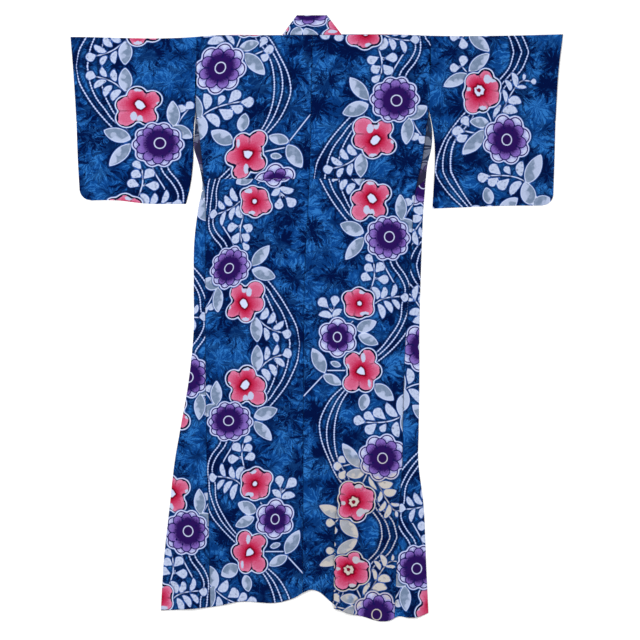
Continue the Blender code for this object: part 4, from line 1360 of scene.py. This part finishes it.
def cloth_material(name, wrong_side_grey_and_shade):
    """Printed cotton with its plain weave. The wrong side shows the same print, greyer and darkened by
    painted shade.
    """
    found = bpy.data.materials.get(name)
    if found:
        return found
    settings = bpy.context.scene.yukata_cloth
    material = bpy.data.materials.new(name)
    nodes = Nodes(material)
    across, length, stain, place = nodes.fields("cloth_place")
    colour = print_colour(nodes, stain, place)
    # The wrong side's dark grey veil: partly its own greyer print, partly painted shade of the garment's
    # inside
    if wrong_side_grey_and_shade:
        colour = nodes.lay(colour, ("wrong_side_grey_and_shade", settings.wrong_side_share))
    threads = 2 * math.pi * PRINT_MM * MM / settings.weave_pitch
    weave = (across * threads).sine() * (length * threads).sine()
    slub = nodes.noise(nodes.vector("MULTIPLY", place, SLUB_STRETCH), 2.0, 4.0, 0.6)
    mottle = nodes.noise(place, 0.8, 3.0, 0.6)
    shaded = nodes.vector("MULTIPLY", colour, WEAVE_SHADE)
    height = weave * 0.5 + slub * 0.8 + mottle * 0.5
    nodes.surface({
        "Base Color": nodes.lay(colour, (shaded, (weave * 0.25 + slub).step(0.35, 0.8))),
        "Roughness": settings.roughness + (slub - 0.5) * 0.12,
        "Normal": nodes.add("ShaderNodeBump", None, {"Strength": 0.35, "Distance": 0.0004, "Height": height}),
        "Metallic": 0.0,
        "Specular IOR Level": 0.015,
    })
    return material


def make_piece(node, sheet, stained=False):
    """Makes a cloth piece and sets it on its body, in place of its plain node."""
    piece = sheet.make("cloth_" + node, stained)
    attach(piece, "root")
    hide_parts(node)


def amount(label, description, default, **kind):
    """A number of the settings, with its unit or subtype."""
    return FloatProperty(name=label, description=description, default=default, **kind)


def tint(label, description, digits):
    """A colour of the settings, with its default written as six hex digits."""
    parts = [int(digits[place:place + 2], 16) / 255 for place in (0, 2, 4)]
    default = [part / 12.92 if part <= 0.04045 else ((part + 0.055) / 1.055) ** 2.4 for part in parts]
    return FloatVectorProperty(
        name=label, description=description, default=default, size=3, min=0, max=1, subtype="COLOR"
    )


class YukataClothSettings(bpy.types.PropertyGroup):
    """The cloth and the colours of its print."""

    thickness: amount("Cloth thickness", "How thick the cotton is", 0.0006, unit="LENGTH")
    weave_pitch: amount("Weave pitch", "Distance between two threads", 0.0011, unit="LENGTH")
    crease_strength: amount("Creases", "How much of the fine creases shows", 1.4, subtype="FACTOR")
    roughness: amount("Roughness", "Roughness of the cloth", 0.86, subtype="FACTOR")
    # Share of the wrong side's veil, which is its greyer print and painted shade
    wrong_side_share: amount("Wrong side fading", "How much greyer the wrong side is", 0.74, subtype="FACTOR")
    ground_light: tint("Ground, light", "Light streaks of the ground", "2a6db4")
    ground: tint("Ground", "Mid blue of the ground", "0a4084")
    ground_dark: tint("Ground, dark", "Dark strokes of the ground", "010f3c")
    navy: tint("Navy", "Outlines and the dye round the shapes", "030d30")
    edge_blue: tint("Edge blue", "Half-dyed edges of the undyed shapes", "3561b0")
    white: tint("White", "Undyed cotton", "c5cfea")
    white_shade: tint("White, shaded", "Undyed cotton where a little dye took", "a7b2d4")
    stain: tint("Yellowing", "Aged cotton at the lower right", "c1b8aa")
    leaf_grey: tint("Leaf grey", "Slate part of the leaves", "6c7e99")
    leaf_light: tint("Leaf light", "Pale blue-grey of leaves and berries", "9eabc9")
    red: tint("Red", "Petals of the red flowers", "b83058")
    crimson: tint("Crimson", "Dye round the red flowers' hearts", "a30428")
    heart_rim: tint("Heart rim", "Dark dye close to the hearts", "5e0420")
    pink: tint("Pink", "Petal edges of the red flowers", "cb7397")
    purple: tint("Purple", "Middle of the purple flowers", "271052")
    purple_dark: tint("Purple, dark", "Disc inside the ring", "26104c")
    lilac: tint("Lilac", "Petal tips of the purple flowers", "7457a8")
    violet_line: tint("Violet line", "Lines between the purple flowers' petals", "15124e")
    pale_lilac: tint("Lavender", "Rim of the purple flowers", "8f8dc8")
    # The wrong side's veil: a grey of its own, darkened as painted shade of the garment's inside
    wrong_side_grey_and_shade: tint("Wrong side", "Grey that veils the print on the wrong side", "282c36")


class YukataStageSettings(bpy.types.PropertyGroup):
    """The floor, the lights and the camera."""

    floor_colour: FloatVectorProperty(
        name="Floor", description="Colour of the floor", default=(0.97, 0.97, 0.97), size=3, min=0, max=1,
        subtype="COLOR",
    )
    floor_size: amount("Floor size", "Width of the floor", 14.0, unit="LENGTH")
    view_width: amount("View width", "Width that the camera sees", 1.696, unit="LENGTH")
    camera_height: amount("Camera height", "Height of the camera over the floor", 5.0, unit="LENGTH")
    light_power: amount("Light power", "Power of the large soft light", 117.0, unit="POWER")
    room_light: amount("Room light", "Strength of the even light all round", 0.54, subtype="FACTOR")


class YUKATA_OT_body(bpy.types.Operator):
    """Builds both halves of the body, from the front hem over the shoulder to the back hem"""

    bl_idname = "yukata.body"
    bl_label = "Build Body"

    def execute(self, context):
        make_piece("body_left", body(LEFT))
        make_piece("body_right", body(RIGHT), stained=True)
        return {"FINISHED"}


class YUKATA_OT_sleeves(bpy.types.Operator):
    """Builds both sleeves as flat tubes"""

    bl_idname = "yukata.sleeves"
    bl_label = "Build Sleeves"

    def execute(self, context):
        make_piece("sleeve_left", sleeve(LEFT))
        make_piece("sleeve_right", sleeve(RIGHT))
        return {"FINISHED"}


class YUKATA_OT_overlaps(bpy.types.Operator):
    """Builds the overlap panels that widen the fronts"""

    bl_idname = "yukata.overlaps"
    bl_label = "Build Overlap Panels"

    def execute(self, context):
        make_piece("overlap_left", overlap(LEFT))
        make_piece("overlap_right", overlap(RIGHT))
        return {"FINISHED"}


class YUKATA_OT_collar(bpy.types.Operator):
    """Builds the collar band round the neck"""

    bl_idname = "yukata.collar"
    bl_label = "Build Collar"

    def execute(self, context):
        make_piece("collar", collar())
        return {"FINISHED"}


class YUKATA_OT_stage(bpy.types.Operator):
    """Builds the pale floor, the soft studio light and the camera"""

    bl_idname = "yukata.stage"
    bl_label = "Build Stage"

    def execute(self, context):
        scene, settings = context.scene, context.scene.yukata_stage
        mesh = bpy.data.meshes.new("floor")
        half = settings.floor_size / 2
        corners = [(-half, -half, 0), (half, -half, 0), (half, half, 0), (-half, half, 0)]
        mesh.from_pydata(corners, [], [(0, 1, 2, 3)])
        material = bpy.data.materials.new("pale_floor")
        floor_colour = (*settings.floor_colour, 1.0)
        Nodes(material).surface({"Base Color": floor_colour, "Roughness": 0.95, "Specular IOR Level": 0.1})
        mesh.materials.append(material)
        floor = bpy.data.objects.new("floor", mesh)
        scene.collection.objects.link(floor)
        scene.world = bpy.data.worlds.new("studio")
        scene.world.use_nodes = True
        background = scene.world.node_tree.nodes["Background"].inputs
        background["Color"].default_value = (1, 1, 1, 1)
        background["Strength"].default_value = settings.room_light
        for name, place, size, share in STUDIO_LIGHTS:
            light = bpy.data.lights.new(name, "AREA")
            light.shape = "DISK"
            light.size = size
            light.energy = settings.light_power * share
            lamp = bpy.data.objects.new(name, light)
            lamp.location = place
            lamp.rotation_euler = (-Vector(place)).to_track_quat("-Z", "Y").to_euler()
            scene.collection.objects.link(lamp)
        camera = bpy.data.cameras.new("camera")
        camera.lens = camera.sensor_width * settings.camera_height / settings.view_width
        camera.clip_end = 50
        viewer = bpy.data.objects.new("camera", camera)
        across, up = (PHOTO_MIDDLE - PRINT_CENTRE_X) * PRINT_MM, (PRINT_TOP_Y - PHOTO_MIDDLE) * PRINT_MM
        viewer.location = (across * MM, up * MM, settings.camera_height)
        scene.collection.objects.link(viewer)
        scene.camera = viewer
        scene.view_settings.view_transform = "Standard"
        return {"FINISHED"}


OPERATORS = (YUKATA_OT_body, YUKATA_OT_sleeves, YUKATA_OT_overlaps, YUKATA_OT_collar, YUKATA_OT_stage)


class YUKATA_PT_panel(bpy.types.Panel):
    """The yukata's operators and settings in the sidebar"""

    bl_label = "Yukata"
    bl_idname = "YUKATA_PT_panel"
    bl_space_type = "VIEW_3D"
    bl_region_type = "UI"
    bl_category = "Yukata"

    def draw(self, context):
        for operator in OPERATORS:
            self.layout.operator(operator.bl_idname)
        for settings in (context.scene.yukata_cloth, context.scene.yukata_stage):
            for name in settings.__annotations__:
                self.layout.prop(settings, name)


CLASSES = (YukataClothSettings, YukataStageSettings, *OPERATORS, YUKATA_PT_panel)


def register():
    for each in CLASSES:
        bpy.utils.register_class(each)
    bpy.types.Scene.yukata_cloth = PointerProperty(type=YukataClothSettings)
    bpy.types.Scene.yukata_stage = PointerProperty(type=YukataStageSettings)


def unregister():
    del bpy.types.Scene.yukata_stage
    del bpy.types.Scene.yukata_cloth
    for each in reversed(CLASSES):
        bpy.utils.unregister_class(each)


def main():
    register()
    for operator in OPERATORS:
        group, name = operator.bl_idname.split(".")
        getattr(getattr(bpy.ops, group), name)()


if __name__ == "__main__":
    main()
